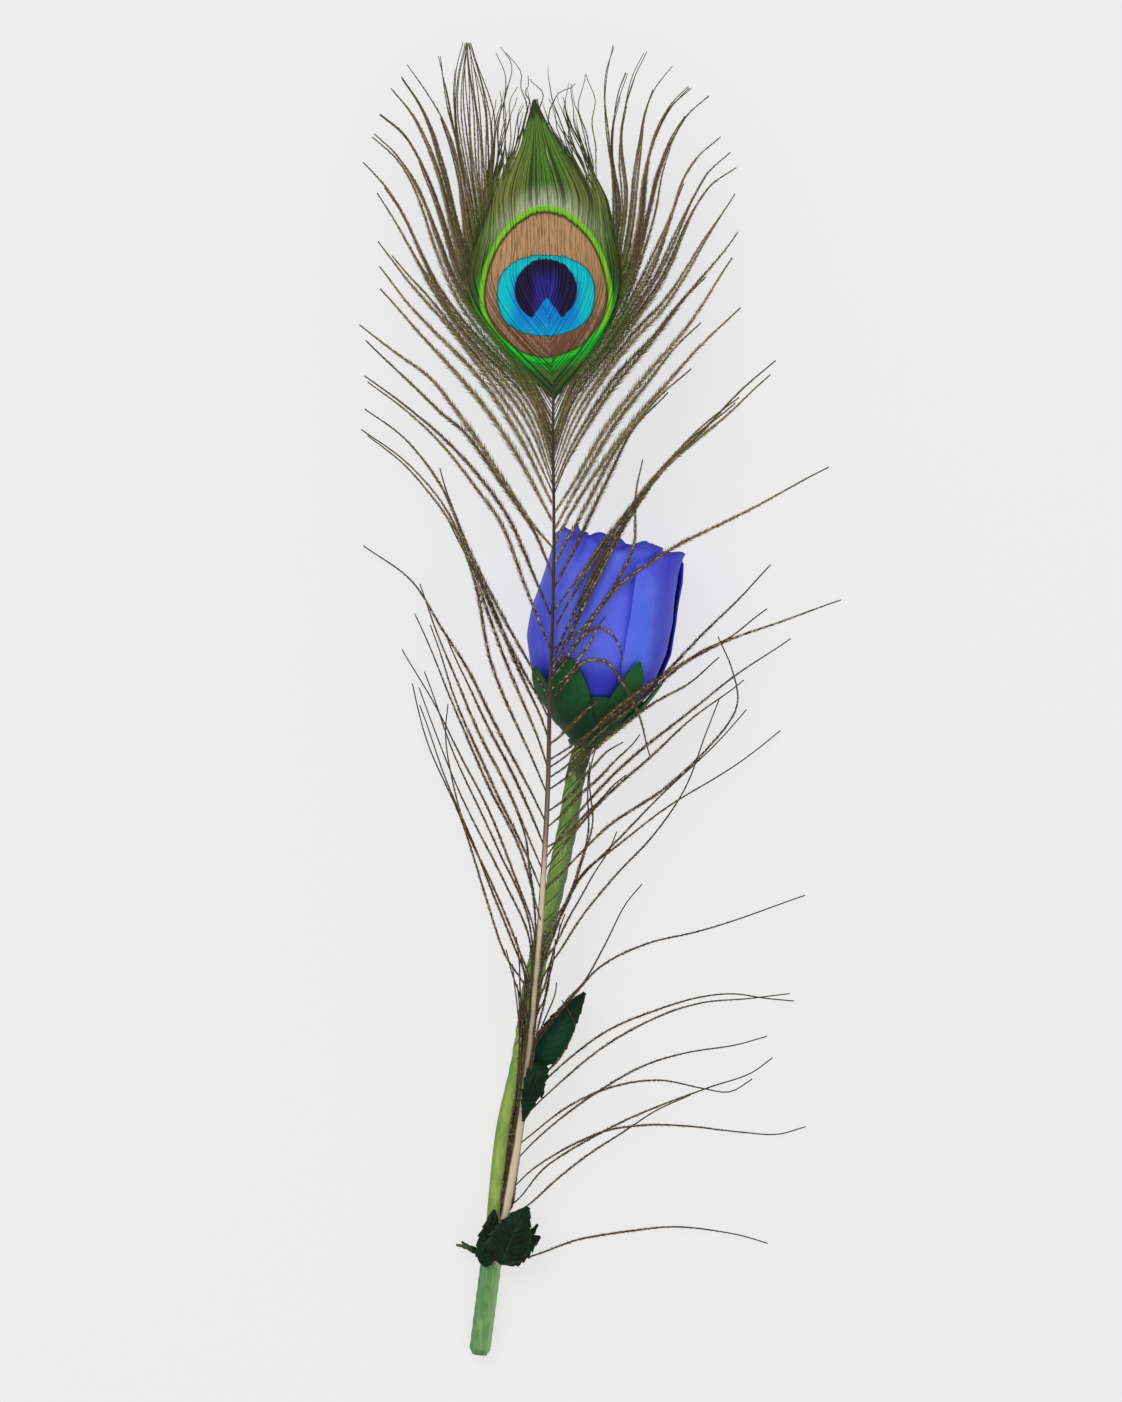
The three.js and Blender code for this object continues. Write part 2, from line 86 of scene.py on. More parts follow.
# The middle line of the shaft and quill, as x, y, z and radius, from the eye's tip down.
SHAFT_LINE = [
    (-6.5, 147.3, 21.0, 0.2), (-4.9, 123.0, 24.8, 0.26), (-3.8, 100.3, 27.5, 0.30),
    (-2.0, 80.3, 29.8, 0.33), (-2.0, 65.3, 31.5, 0.35), (-1.8, 50.3, 33.2, 0.37),
    (-1.8, 35.3, 34.4, 0.40), (-2.3, 15.3, 34.7, 0.44), (-2.8, 0.3, 32.7, 0.5),
    (-3.3, -22.3, 27.3, 0.6), (-4.8, -49.8, 21.0, 0.76), (-6.3, -69.8, 16.8, 0.86),
    (-8.0, -87.3, 13.4, 0.92), (-10.0, -104.8, 10.5, 1.0), (-12.8, -122.3, 7.9, 1.15),
    (-14.9, -133.0, 6.4, 1.0), (-17.3, -140.6, 4.7, 0.65), (-17.8, -145.0, 4.6, 0.6),
    (-18.4, -150.0, 4.6, 0.6),
]

# Barbs are drawn on a grid of quarter millimetres, counted right and down from its corner. Each
# row holds the height where the barb leaves the shaft, the height of its tip above the surface
# in millimetres, and the points of its path from the tip to near the shaft.
GRID = 0.25
GRID_MIDDLE = (561.0, 701.0)

UPPER_LEFT_FAN = [
    (496, 11, (378, 241), (403, 275), (440, 317), (475, 362), (520, 425)),
    (484, 10, (378, 192), (392, 215), (405, 240), (436, 295), (475, 350), (526, 410)),
    (470, 9, (364, 161), (390, 192), (415, 240), (445, 303), (475, 340), (532, 402)),
    (456, 11, (373, 132), (395, 152), (420, 192), (445, 262), (465, 303), (525, 385)),
    (443, 8, (379, 112), (408, 138), (430, 185), (452, 255), (470, 297), (520, 366)),
    (430, 12, (392, 88), (415, 118), (437, 170), (458, 250), (474, 294), (515, 352)),
    (412, 10, (402, 76), (425, 115), (443, 170), (461, 245), (477, 290), (512, 344)),
    (394, 14, (408, 64), (435, 105), (457, 160), (467, 235), (480, 287), (514, 340)),
    (376, 13, (439, 55), (450, 115), (462, 165), (470, 230), (482, 284), (516, 332)),
    (358, 15, (464, 42), (455, 75), (454, 112), (460, 160), (472, 215), (484, 280)),
    (342, 16, (467, 43), (468, 80), (470, 120), (474, 165), (480, 215), (488, 260)),
    (326, 14, (470, 42), (482, 75), (492, 105), (494, 140), (492, 185), (494, 235)),
]
UPPER_RIGHT_FAN = [
    (496, 9, (737, 231), (710, 268), (680, 305), (645, 350), (600, 408), (565, 468)),
    (482, 12, (735, 193), (712, 227), (690, 270), (665, 307), (630, 345), (580, 418)),
    (469, 8, (735, 165), (708, 187), (688, 225), (660, 285), (620, 345), (576, 405)),
    (457, 11, (729, 151), (705, 175), (687, 215), (655, 280), (615, 342), (574, 396)),
    (447, 9, (720, 135), (690, 167), (673, 210), (650, 270), (608, 342), (572, 386)),
    (436, 12, (710, 95), (685, 117), (663, 160), (646, 230), (625, 295), (580, 370)),
    (414, 10, (690, 86), (664, 115), (646, 170), (640, 230), (620, 292), (578, 362)),
    (394, 13, (672, 65), (650, 100), (639, 155), (634, 215), (618, 280), (578, 355)),
    (372, 11, (647, 50), (632, 80), (622, 135), (625, 205), (614, 275), (580, 345)),
    (350, 12, (627, 72), (616, 105), (612, 155), (618, 210), (611, 270), (582, 335)),
    (330, 15, (613, 44), (605, 80), (607, 130), (613, 195), (608, 255), (586, 320)),
]
LEFT_BARBS = [
    (508, 10, (379, 265), (405, 300), (440, 337), (480, 380), (515, 430)),
    (525, 9, (379, 287), (410, 322), (450, 367), (490, 415), (518, 458)),
    (550, 10, (360, 324), (395, 352), (432, 380), (467, 426), (502, 479), (532, 524)),
    (579, 13, (366, 340), (400, 373), (443, 415), (464, 432), (502, 485), (534, 532)),
    (620, 7, (363, 374), (399, 400), (443, 438), (481, 479), (508, 518), (534, 576)),
    (653, 8, (368, 381), (402, 407), (445, 448), (479, 492), (502, 526), (526, 588)),
    (700, 5, (363, 407), (405, 438), (440, 485), (467, 545), (500, 612), (542, 685)),
    (795, 2, (361, 428), (405, 461), (450, 515), (474, 580), (492, 665), (535, 765)),
    (770, 8, (366, 434), (410, 470), (455, 530), (480, 590), (507, 665), (538, 738)),
    (740, 12, (440, 468), (450, 500), (466, 545), (490, 600), (510, 650), (540, 715)),
    (720, 14, (448, 520), (470, 562), (497, 620), (520, 665), (540, 700)),
    (823, 0.7, (363, 545), (410, 580), (443, 630), (465, 665), (493, 720), (530, 790)),
    (848, 12, (448, 640), (470, 690), (495, 740), (525, 800)),
    (872, 5, (418, 583), (440, 640), (460, 690), (480, 735), (508, 790), (534, 850)),
    (887, 7, (430, 625), (450, 685), (472, 740), (500, 800), (528, 858)),
    (902, 3, (413, 613), (437, 665), (463, 730), (488, 785), (520, 850)),
    (925, 0.7, (402, 650), (432, 702), (460, 755), (488, 810), (517, 882)),
    (938, 6, (424, 672), (446, 735), (470, 790), (498, 850), (524, 905)),
    (950, 4, (419, 688), (440, 748), (475, 825), (503, 880), (527, 930)),
    (990, 0.7, (412, 684), (428, 748), (462, 822), (485, 897), (505, 955)),
    (985, 5, (418, 705), (448, 785), (480, 862), (512, 942)),
    (975, 6, (447, 704), (446, 740), (460, 815), (490, 880), (518, 948)),
    (915, 14, (511, 797), (522, 825), (530, 870)),
    (1060, 12.5, (517, 938), (519, 975), (522, 1015)),
    (1015, 15.5, (512, 940), (522, 968), (527, 990), (525, 1008)),
    (1025, 15, (505, 950), (516, 985), (521, 1005), (522, 1018)),
    (1045, 14.5, (520, 955), (525, 985), (523, 1015), (521, 1038)),
    (1232, 14.6, (512, 965), (518, 1010), (518, 1060), (515, 1105), (511, 1150), (504, 1215)),
    (1231, 13.8, (516, 985), (521, 1030), (517, 1075), (514, 1115), (509, 1155), (503, 1215)),
    (1230, 13.2, (521, 990), (520, 1035), (517, 1080), (512, 1120), (507, 1165), (501, 1215)),
    (1229, 13.6, (523, 1000), (520, 1050), (516, 1090), (511, 1130), (505, 1170), (500, 1215)),
    (1228, 12.4, (524, 1020), (521, 1065), (517, 1105), (511, 1145), (506, 1180), (502, 1215)),
    (1227, 12.8, (526, 1030), (522, 1075), (517, 1115), (512, 1150), (506, 1190), (503, 1215)),
]
RIGHT_BARBS = [
    (515, 12, (733, 257), (712, 290), (675, 342), (645, 378), (610, 422), (575, 482)),
    (532, 13, (700, 322), (672, 352), (640, 392), (606, 440), (572, 498)),
    (548, 10, (740, 306), (710, 337), (680, 368), (638, 417), (598, 470), (562, 530)),
    (566, 14, (690, 368), (655, 402), (625, 437), (600, 480), (568, 540)),
    (590, 13, (668, 392), (640, 420), (612, 470), (588, 522), (564, 570)),
    (612, 12, (771, 374), (735, 408), (700, 437), (660, 474), (610, 534), (570, 590)),
    (635, 9, (776, 359), (735, 397), (700, 433), (655, 478), (605, 545), (562, 615)),
    (650, 14, (642, 459), (635, 505), (632, 550), (612, 590), (575, 636)),
    (672, 13, (740, 397), (690, 437), (652, 482), (622, 530), (592, 590), (563, 650)),
    (678, 14, (735, 402), (684, 446), (645, 494), (616, 540), (586, 596), (561, 656)),
    (666, 12.5, (712, 420), (672, 460), (636, 505), (606, 552), (578, 604), (558, 648)),
    (668, 15, (830, 467), (780, 493), (720, 525), (665, 553), (615, 590), (568, 655)),
    (680, 16, (623, 660), (612, 635), (598, 628), (582, 636), (565, 662)),
    (690, 16, (604, 617), (590, 642), (568, 675)),
    (700, 13, (651, 757), (640, 720), (622, 682), (603, 661), (583, 663), (562, 688)),
    (760, 12, (772, 565), (720, 617), (680, 658), (645, 690), (600, 725), (565, 750)),
    (768, 9, (843, 600), (790, 618), (730, 640), (675, 668), (620, 705), (567, 755)),
    (778, 13, (768, 609), (730, 637), (700, 652), (650, 692), (605, 728), (566, 766)),
    (790, 14, (720, 658), (690, 682), (650, 706), (607, 738), (568, 776)),
    (745, 20, (598, 700), (578, 718), (562, 734)),
    (812, 17, (622, 742), (598, 760), (570, 795)),
    (828, 15, (640, 735), (612, 765), (580, 795), (560, 816)),
    (848, 13, (625, 775), (595, 805), (562, 838)),
    (885, 5, (720, 637), (733, 668), (737, 705), (708, 749), (665, 788), (610, 825), (562, 872)),
    (860, 4, (791, 638), (735, 677), (670, 727), (610, 778), (570, 823)),
    (872, 9, (744, 680), (700, 713), (660, 748), (595, 808), (560, 850)),
    (975, 7, (720, 698), (707, 735), (687, 785), (650, 840), (617, 875), (583, 915), (562, 948)),
    (940, 3, (748, 710), (700, 760), (645, 812), (606, 852), (580, 880), (561, 915), (551, 938)),
    (955, 0.7, (782, 731), (725, 773), (660, 813), (612, 850), (585, 872), (566, 903), (553, 938)),
    (935, 12, (598, 738), (590, 780), (592, 825), (582, 863), (572, 892), (556, 925)),
    (925, 14, (590, 762), (588, 800), (587, 840), (578, 872), (564, 905), (551, 925)),
    (960, 15, (616, 832), (606, 855), (590, 882), (570, 915), (556, 945)),
    (990, 15.5, (566, 915), (556, 940), (551, 962), (545, 985)),
    (1010, 15, (560, 925), (553, 955), (548, 985), (543, 1003)),
    (1020, 14.5, (556, 940), (550, 975), (545, 1000), (541, 1014)),
    (1036, 9, (642, 885), (627, 905), (603, 948), (584, 984), (568, 1000), (550, 1022)),
    (1042, 0.7, (807, 897), (760, 914), (700, 932), (645, 946), (600, 968), (573, 997), (548, 1028)),
    (1098, 2, (795, 1003), (765, 1000), (735, 996), (695, 1000), (655, 1012), (600, 1037), (545, 1082)),
    (1122, 5, (792, 996), (750, 1000), (705, 1004), (655, 1020), (610, 1044), (548, 1095)),
    (1164, 3, (769, 1039), (740, 1047), (690, 1054), (645, 1068), (600, 1092), (540, 1138)),
    (1148, 6, (752, 1081), (730, 1094), (705, 1091), (660, 1082), (620, 1087), (570, 1107), (532, 1136)),
    (1212, 3, (773, 1060), (750, 1077), (708, 1091), (665, 1106), (600, 1136), (545, 1170), (520, 1200)),
    (1218, 1.5, (690, 1098), (650, 1118), (600, 1150), (560, 1179), (525, 1210)),
    (1194, 0.7, (807, 1130), (780, 1138), (740, 1135), (690, 1129), (645, 1128), (600, 1135), (535, 1170)),
    (1262, 0.7, (770, 1248), (735, 1238), (680, 1231), (635, 1234), (580, 1243), (522, 1262)),
    (1216, 9.5, (526, 1106), (522.5, 1124), (518.5, 1152), (515.5, 1180), (511.5, 1206)),
    (1221, 8.5, (523, 1120), (519.5, 1150), (515.5, 1182), (511.5, 1210)),
    (1092, 10, (563, 1002), (574, 1028), (562, 1056), (540, 1080)),
    (1040, 14, (556, 983), (552, 1005), (540, 1030)),
]
# Wisps that part from the cone above the eye, as [tip height, tip, points on the way, root].
LEFT_WISPS = [
    (17, (502, 47), (510, 64), (508, 93), (499, 115), (500, 150), (512, 190)),
    (16, (498, 53), (503, 68), (505, 102), (504, 130), (508, 165), (518, 200)),
    (18, (508, 53), (520, 73), (522, 88), (526, 102), (524, 130), (520, 165)),
    (16, (516, 86), (510, 108), (506, 139), (508, 170), (514, 195)),
    (18, (530, 76), (526, 90), (530, 104), (532, 125)),
    (17, (529, 78), (539, 88), (544, 99), (539, 108), (537, 128)),
    (16, (494, 98), (493, 130), (491, 165), (493, 205), (497, 232)),
    (16, (500, 90), (499, 120), (497, 150), (498, 185), (502, 220)),
    (16, (507, 84), (505, 115), (502, 150), (504, 185), (508, 214)),
    (17, (515, 96), (511, 125), (509, 155), (511, 190), (516, 210)),
    (17, (522, 104), (517, 135), (515, 165), (518, 200)),
    (17, (527, 110), (523, 140), (521, 170), (524, 200)),
]
RIGHT_WISPS = [
    (16, (573, 84), (572, 110), (581, 142), (588, 163), (588, 195)),
    (18, (575, 83), (554, 99), (550, 112), (546, 135)),
    (15, (586, 74), (580, 90), (580, 112), (588, 142), (593, 163), (592, 195)),
    (15, (588, 74), (594, 101), (593, 131), (596, 156), (596, 195)),
    (17, (562, 96), (566, 118), (570, 140), (574, 165)),
    (16, (549, 98), (556, 120), (563, 145), (574, 180), (582, 215)),
    (17, (556, 106), (562, 130), (570, 152), (580, 184), (589, 218)),
    (16, (565, 118), (573, 142), (584, 168), (592, 200), (597, 225)),
    (16, (575, 130), (583, 152), (592, 176), (600, 208)),
]
# How many barbs stand between each barb of a fan and the next.
FAN_FILL = {"left": (1, 1, 2, 3, 3, 3, 4, 2, 3, 5, 7), "right": (1, 1, 1, 2, 2, 3, 3, 3, 3, 3)}

# The rosebud lies level beside the shaft. The profile is its radius at each distance from its
# foot. Angles round its axis are 90 degrees on top. The petals that bear its weight keep half a
# petal's thickness from the surface.
BUD_FOOT = (6.0, -9.8, 18.3)
BUD_TILT = math.radians(7.5)
BUD_LENGTH = 51.0
BUD_REST = 0.24
BUD_PROFILE = [
    (0, 2.4), (4, 7.0), (10, 12.0), (16, 15.0), (24, 17.3), (32, 17.9), (42, 17.2), (51, 15.6),
]
# The calyx reaches this far along the bud. Barbs clear it and the rest of the bud by the next
# two heights, and the surface by the last.
CALYX_REACH = 22.0
CALYX_LIFT = 3.4
BARB_LIFT = 2.2
BARB_REST = 0.6

# The stem's middle line, as x, y, z and radius.
STEM_LINE = [
    (5.85, -10.9, 18.3, 2.3), (4.0, -17.0, 17.6, 2.4), (1.5, -32.3, 15.4, 2.4),
    (-3.4, -54.8, 12.6, 2.4), (-6.9, -70.0, 10.7, 2.4), (-10.0, -89.8, 8.2, 2.4),
    (-14.0, -107.3, 5.9, 2.4), (-16.0, -124.8, 3.9, 2.4), (-16.7, -132.5, 3.1, 2.3),
    (-17.2, -137.0, 2.5, 1.5), (-17.6, -143.0, 2.2, 1.4), (-18.7, -151.0, 2.2, 1.4),
]


# ---------------------------------------------------------------- curves and small sums

def smoothstep(low, high, x):
    """0 at low, 1 at high and smooth between them. Low may be the greater."""
    t = min(max((x - low) / (high - low), 0.0), 1.0)
    return t * t * (3.0 - 2.0 * t)


def table_at(rows, x, column=1):
    """The value at x of rows whose first column rises, running straight between them."""
    if x <= rows[0][0]:
        return rows[0][column]
    for low, high in zip(rows, rows[1:]):
        if x <= high[0]:
            share = (x - low[0]) / (high[0] - low[0])
            return low[column] + (high[column] - low[column]) * share
    return rows[-1][column]


def spline(points, steps):
    """Points of a smooth curve through the given ones, about evenly spaced."""
    points = [Vector(p) for p in points]
    ends = [2 * points[0] - points[1], *points, 2 * points[-1] - points[-2]]
    dense = []
    fine = 8
    for a, b, c, d in zip(ends, ends[1:], ends[2:], ends[3:]):
        # centripetal knots keep the curve from looping between close points
        knots = [0.0]
        for p, q in ((a, b), (b, c), (c, d)):
            knots.append(knots[-1] + max((q - p).length, 1e-6) ** 0.5)
        t0, t1, t2, t3 = knots
        for k in range(fine):
            t = t1 + (t2 - t1) * k / fine
            a1 = a * ((t1 - t) / (t1 - t0)) + b * ((t - t0) / (t1 - t0))
            a2 = b * ((t2 - t) / (t2 - t1)) + c * ((t - t1) / (t2 - t1))
            a3 = c * ((t3 - t) / (t3 - t2)) + d * ((t - t2) / (t3 - t2))
            b1 = a1 * ((t2 - t) / (t2 - t0)) + a2 * ((t - t0) / (t2 - t0))
            b2 = a2 * ((t3 - t) / (t3 - t1)) + a3 * ((t - t1) / (t3 - t1))
            dense.append(b1 * ((t2 - t) / (t2 - t1)) + b2 * ((t - t1) / (t2 - t1)))
    dense.append(points[-1])
    return resampled(dense, steps)


def path_frame(ahead):
    """The directions across a path and up from it, for the direction that it runs in."""
    across = ahead.cross(Vector((0.0, 0.0, 1.0))).normalized()
    return across, across.cross(ahead)


def resampled(points, steps):
    """The same path in a given number of equal steps."""
    lengths = [0.0]
    for p, q in zip(points, points[1:]):
        lengths.append(lengths[-1] + (q - p).length)
    result = []
    piece = 0
    for k in range(steps + 1):
        goal = lengths[-1] * k / steps
        while piece < len(points) - 2 and lengths[piece + 1] < goal:
            piece += 1
        span = lengths[piece + 1] - lengths[piece]
        share = (goal - lengths[piece]) / span if span else 0.0
        result.append(points[piece].lerp(points[piece + 1], min(max(share, 0.0), 1.0)))
    return result


def scatter(seed):
    """A repeatable number from 0 to 1 for a whole number."""
    return math.modf(abs(math.sin(seed * 12.9898 + 4.1414)) * 43758.5453)[0]


def on_plan(point):
    """A grid point as x and y in millimetres."""
    return (point[0] - GRID_MIDDLE[0]) * GRID, (GRID_MIDDLE[1] - point[1]) * GRID


def bud_radius(along):
    return table_at(BUD_PROFILE, along)


BUD_AXIS = Vector((math.sin(BUD_TILT), math.cos(BUD_TILT), 0.0))
BUD_SIDE = Vector((math.cos(BUD_TILT), -math.sin(BUD_TILT), 0.0))


def bud_point(along, radius, degrees):
    """A point of the bud in millimetres, pressed flat where it lies on the surface."""
    angle = math.radians(degrees)
    point = Vector(BUD_FOOT) + BUD_AXIS * along + BUD_SIDE * (radius * math.cos(angle))
    point.z = max(point.z + radius * math.sin(angle), BUD_REST)
    return point


def bud_top(x, y):
    """The height at which a barb clears the bud or its calyx, or nothing beside them."""
    offset = Vector((x, y, BUD_FOOT[2])) - Vector(BUD_FOOT)
    full = offset.dot(BUD_AXIS)
    along = min(max(full, 0.0), BUD_LENGTH + 3.0)
    lift = CALYX_LIFT if along < CALYX_REACH else BARB_LIFT
    radius = bud_radius(min(along, BUD_LENGTH)) + lift
    inside = radius ** 2 - offset.dot(BUD_SIDE) ** 2 - (full - along) ** 2
    return BUD_FOOT[2] + math.sqrt(inside) if inside > 0 else 0.0


SHAFT_CURVE = spline([p[:3] for p in SHAFT_LINE], steps=160)
SHAFT_BY_HEIGHT = [(-p.y, p.x, p.z) for p in SHAFT_CURVE]


def shaft_at(y):
    """The middle of the shaft at a height of the drawing, in millimetres."""
    return Vector((table_at(SHAFT_BY_HEIGHT, -y, 1), y, table_at(SHAFT_BY_HEIGHT, -y, 2)))


# ---------------------------------------------------------------- the eye's outline

# The barbs of the eye: how far their outline stands left and right of the shaft at each height
# of the grid, and the heights between which they leave the shaft.
EYE_OUTLINE = [
    (103, 1.5, 1.5), (125, 9, 10), (150, 18, 22), (175, 32, 37), (200, 48, 56), (225, 62, 69),
    (250, 74, 77), (272, 81, 79),
]
EYE_WIDEST = 272
EYE_FIRST_ROOT = 298
EYE_LAST_ROOT = 401
# Barbs within this share of the half width close in a cone above the eye. The outer ones stray
# from it by these distances at these heights of the grid.
CONE_SHARE = 0.52
STRAY_REACH = [(50, 42), (80, 40), (110, 38), (150, 30), (185, 16), (215, 5), (240, 0)]
# How far the eye's surface sags at this distance from the shaft, and how far a loose barb stays
# below it once it is this many grid steps inside the outline.
EYE_SAG = 2.2
EYE_SAG_REACH = 18.0
UNDER_EYE = 1.2
UNDER_EYE_WITHIN = 14
NO_ROOF = 99.0


def eye_height(x, y):
    """The height of the eye's gently domed surface over a point in millimetres."""
    middle = shaft_at(y)
    return middle.z - EYE_SAG * ((x - middle.x) / EYE_SAG_REACH) ** 2


def eye_surface(u, v):
    """The point of the eye's surface at a grid point, in millimetres."""
    x, y = on_plan((u, v))
    return Vector((x, y, eye_height(x, y)))


def eye_root(share):
    """The height of the grid at which a barb of the eye leaves the shaft."""
    return EYE_FIRST_ROOT + (EYE_LAST_ROOT - EYE_FIRST_ROOT) * share


def shaft_column(v):
    """Where the shaft stands across the grid at a height of the grid."""
    return shaft_at(on_plan((0, v))[1]).x / GRID + GRID_MIDDLE[0]


def eye_reach(v, share, side):
    """How far a barb of the eye stands from the shaft at a height of the grid."""
    column = 1 if side < 0 else 2
    if v <= EYE_WIDEST:
        return share * table_at(EYE_OUTLINE, v, column)
    root_v = eye_root(share)
    bow = math.sin(math.pi / 2 * max(root_v - v, 0.0) / (root_v - EYE_WIDEST))
    return share * table_at(EYE_OUTLINE, EYE_WIDEST, column) * bow


def eye_roof(x, y):
    """The height that keeps a loose barb under the eye, or a great one beside it."""
    v = GRID_MIDDLE[1] - y / GRID
    u = x / GRID + GRID_MIDDLE[0] - shaft_column(v)
    inside = eye_reach(v, 1.0, u) - abs(u)
    if not EYE_OUTLINE[0][0] < v < EYE_LAST_ROOT or inside < 0:
        return NO_ROOF
    return eye_height(x, y) - UNDER_EYE * smoothstep(0, UNDER_EYE_WITHIN, inside)


# ---------------------------------------------------------------- petals, sepals and leaves

# Layers of petals: how many, the share of the bud's radius they stand at, the degrees they span,
# the direction of the first, where they begin and end along the bud, and how far the rim flares.
PETAL_LAYERS = {
    "outer_petal": (5, 1.0, 104.0, 232.0, 2.0, 49.5, 1.2),
    "middle_petal": (4, 0.78, 124.0, 20.0, 4.0, 50.5, 0.6),
    "inner_petal": (3, 0.54, 160.0, 75.0, 7.0, 49.0, 0.2),
}
# The share of those degrees that a petal spans at its foot, and the share that it gains up to
# this part of its height.
PETAL_FOOT = 0.55
PETAL_WIDENS = 0.45
PETAL_WIDENS_TO = 0.45
# How much further out one side of a petal stands than the other, from this part of its height.
PETAL_LIFT = 2.0
PETAL_LIFTS_TO = 0.25
# How far the rim's corners lie back and how much higher the rim is on the left of the bud. The
# petals there lean inwards by this share, over these distances along the bud.
RIM_CORNER = 3.2
RIM_LEFT_RISE = 1.8
PETAL_LEAN = 0.2
PETAL_LEANS_OVER = (22, 50)
# Waves along the rim: how far they reach, how many radians they run across a petal and how far
# they shift from one petal to the next. Then how far the crinkles at the rim, the waves of the
# sides and those of the face stand out.
RIM_WAVES = ((1.1, 9, 2.1), (0.28, 31, 4.0))
CRINKLE = 0.16
SIDE_WAVE = 0.22
FACE_WAVE = 0.12
# One petal has a fold at its rim: where it lies across the petal, how far it stands out and how
# far it draws the rim back.
FOLDED_PETAL = ("outer_petal", 2)
FOLD_ACROSS = 0.42
FOLD_OUT = 3.2
FOLD_BACK = 1.2
# The heart is a scroll of this radius and turn in degrees, between these distances along the bud.
# Its rim is ruffled by the last.
HEART_RADIUS = 3.6
HEART_TURN = 540.0
HEART_FROM = 9.0
HEART_TO = 47.5
HEART_RUFFLE = 0.6

# Sepals: their direction, how far along the bud they reach and their half width in millimetres.
SEPALS = [
    (148, 16.5, 5.4), (112, 20.0, 6.4), (54, 21.0, 4.8), (5, 17.5, 6.0), (-60, 18.5, 6.2),
    (-118, 16.5, 6.0),
]
# Where they begin along the bud, how far they stand off it and how much more their tips do, how
# far their middle is sunk at the foot and how far their edges curl.
SEPAL_FROM = 3.0
SEPAL_GAP = 1.55
SEPAL_TIP_LIFT = 0.55
SEPAL_KEEL = 0.25
SEPAL_CURL = 0.35
# The cup round their feet: how far it reaches above and below the bud's foot, how far it stands
# off the bud, its radius under the foot, and the number and height of the lobes at its rim.
CUP_HEIGHT = 10.8
CUP_DEPTH = 1.5
CUP_GAP = 1.2
CUP_FOOT_RADIUS = 3.4
CUP_LOBES = 6
CUP_LOBE_HEIGHT = 0.5

# How far a leaf's edges fall for each millimetre of its half width, how deep its midrib lies and
# how high the waves are between its veins.
LEAF_FALL = 0.15
MIDRIB_DEPTH = 0.22
LEAF_WAVE = 0.16
# Leaves: half width, number of teeth, how deep they are cut and the line of the midrib as x, y
# and z, from foot to tip. Each node may hold several.
LEAVES = {
    "upper_leaf": [
        (4.0, 9, 0.16, (-6.1, -91.6, 9.2), (-3.2, -87.0, 9.8), (0.4, -81.0, 9.8),
         (6.0, -73.2, 9.4)),
    ],
    "middle_leaf": [
        (2.7, 7, 0.22, (-5.0, -90.4, 10.4), (-5.6, -92.4, 14.9), (-7.6, -98.5, 15.1),
         (-9.5, -105.4, 13.4)),
        (0.8, 4, 0.3, (-6.6, -94.0, 15.0), (-5.0, -96.5, 14.6), (-4.9, -99.5, 14.0)),
    ],
    "lower_leaf_front": [
        (5.0, 8, 0.2, (-15.2, -141.5, 8.8), (-13.5, -137.5, 10.6), (-11.3, -132.5, 11.1),
         (-8.2, -127.0, 10.0)),
        (2.6, 5, 0.3, (-17.6, -139.6, 9.3), (-15.0, -134.0, 9.9), (-12.5, -129.2, 9.4)),
    ],
    "lower_leaf_right": [
        (2.9, 6, 0.3, (-14.2, -141.4, 7.1), (-11.5, -138.8, 8.3), (-8.5, -136.4, 8.4),
         (-5.2, -134.6, 7.6)),
        (0.9, 3, 0.3, (-10.0, -137.0, 8.9), (-7.8, -134.2, 9.1), (-5.8, -131.4, 8.9)),
        (1.2, 4, 0.3, (-13.0, -140.6, 8.7), (-10.4, -139.6, 8.9), (-8.2, -137.8, 8.7)),
    ],
    "lower_leaf_left": [
        (2.8, 6, 0.22, (-18.9, -142.2, 7.2), (-18.6, -138.0, 8.1), (-17.6, -133.0, 8.2),
         (-16.8, -127.8, 7.8)),
    ],
    "bract": [
        (0.7, 3, 0.15, (-19.7, -139.5, 3.9), (-21.5, -138.4, 4.3), (-23.5, -137.5, 4.3),
         (-26.4, -136.9, 3.8)),
        (0.4, 2, 0.2, (-22.0, -138.2, 4.5), (-23.6, -137.2, 4.8), (-25.0, -136.0, 4.9)),
    ],
}


def hill(x, middle, half):
    """A smooth hill of height 1 that has mostly fallen at half on both sides of its middle."""
    return math.exp(-((x - middle) / half) ** 2)


def petal_point(layer, number, u, v):
    """A point of a petal for shares across it and up it, both from 0 to 1."""
    count, scale, arc, first, low, high, flare = PETAL_LAYERS[layer]
    edge = abs(2 * u - 1)
    spread = PETAL_FOOT + PETAL_WIDENS * smoothstep(0, PETAL_WIDENS_TO, v)
    ruffle = sum(
        reach * math.sin(turns * u + shift * number) for reach, turns, shift in RIM_WAVES)
    degrees = first + 360.0 / count * number + arc * spread * (0.5 - u)
    leftward = max(-math.cos(math.radians(degrees)), 0.0)
    rim = high - RIM_CORNER * edge ** 3 + ruffle + RIM_LEFT_RISE * leftward
    along = low + (rim - low) * v
    lift = PETAL_LIFT * smoothstep(0, PETAL_LIFTS_TO, v)
    radius = bud_radius(along) * scale + lift * (0.5 - u)
    radius += flare * v ** 6 + CRINKLE * math.sin(47 * u + 9 * v + number) * v ** 5
    radius += SIDE_WAVE * math.sin(13 * v + 2 * number) * edge ** 5
    radius += FACE_WAVE * math.sin(5 * u + 5 * v + 1.7 * number) * v
    if (layer, number) == FOLDED_PETAL:
        radius += FOLD_OUT * hill(u, FOLD_ACROSS, 0.11) * v ** 7
        along -= FOLD_BACK * hill(u, FOLD_ACROSS, 0.12) * v ** 9
    radius *= 1 - PETAL_LEAN * smoothstep(*PETAL_LEANS_OVER, along) * leftward
    return bud_point(along, radius, degrees)


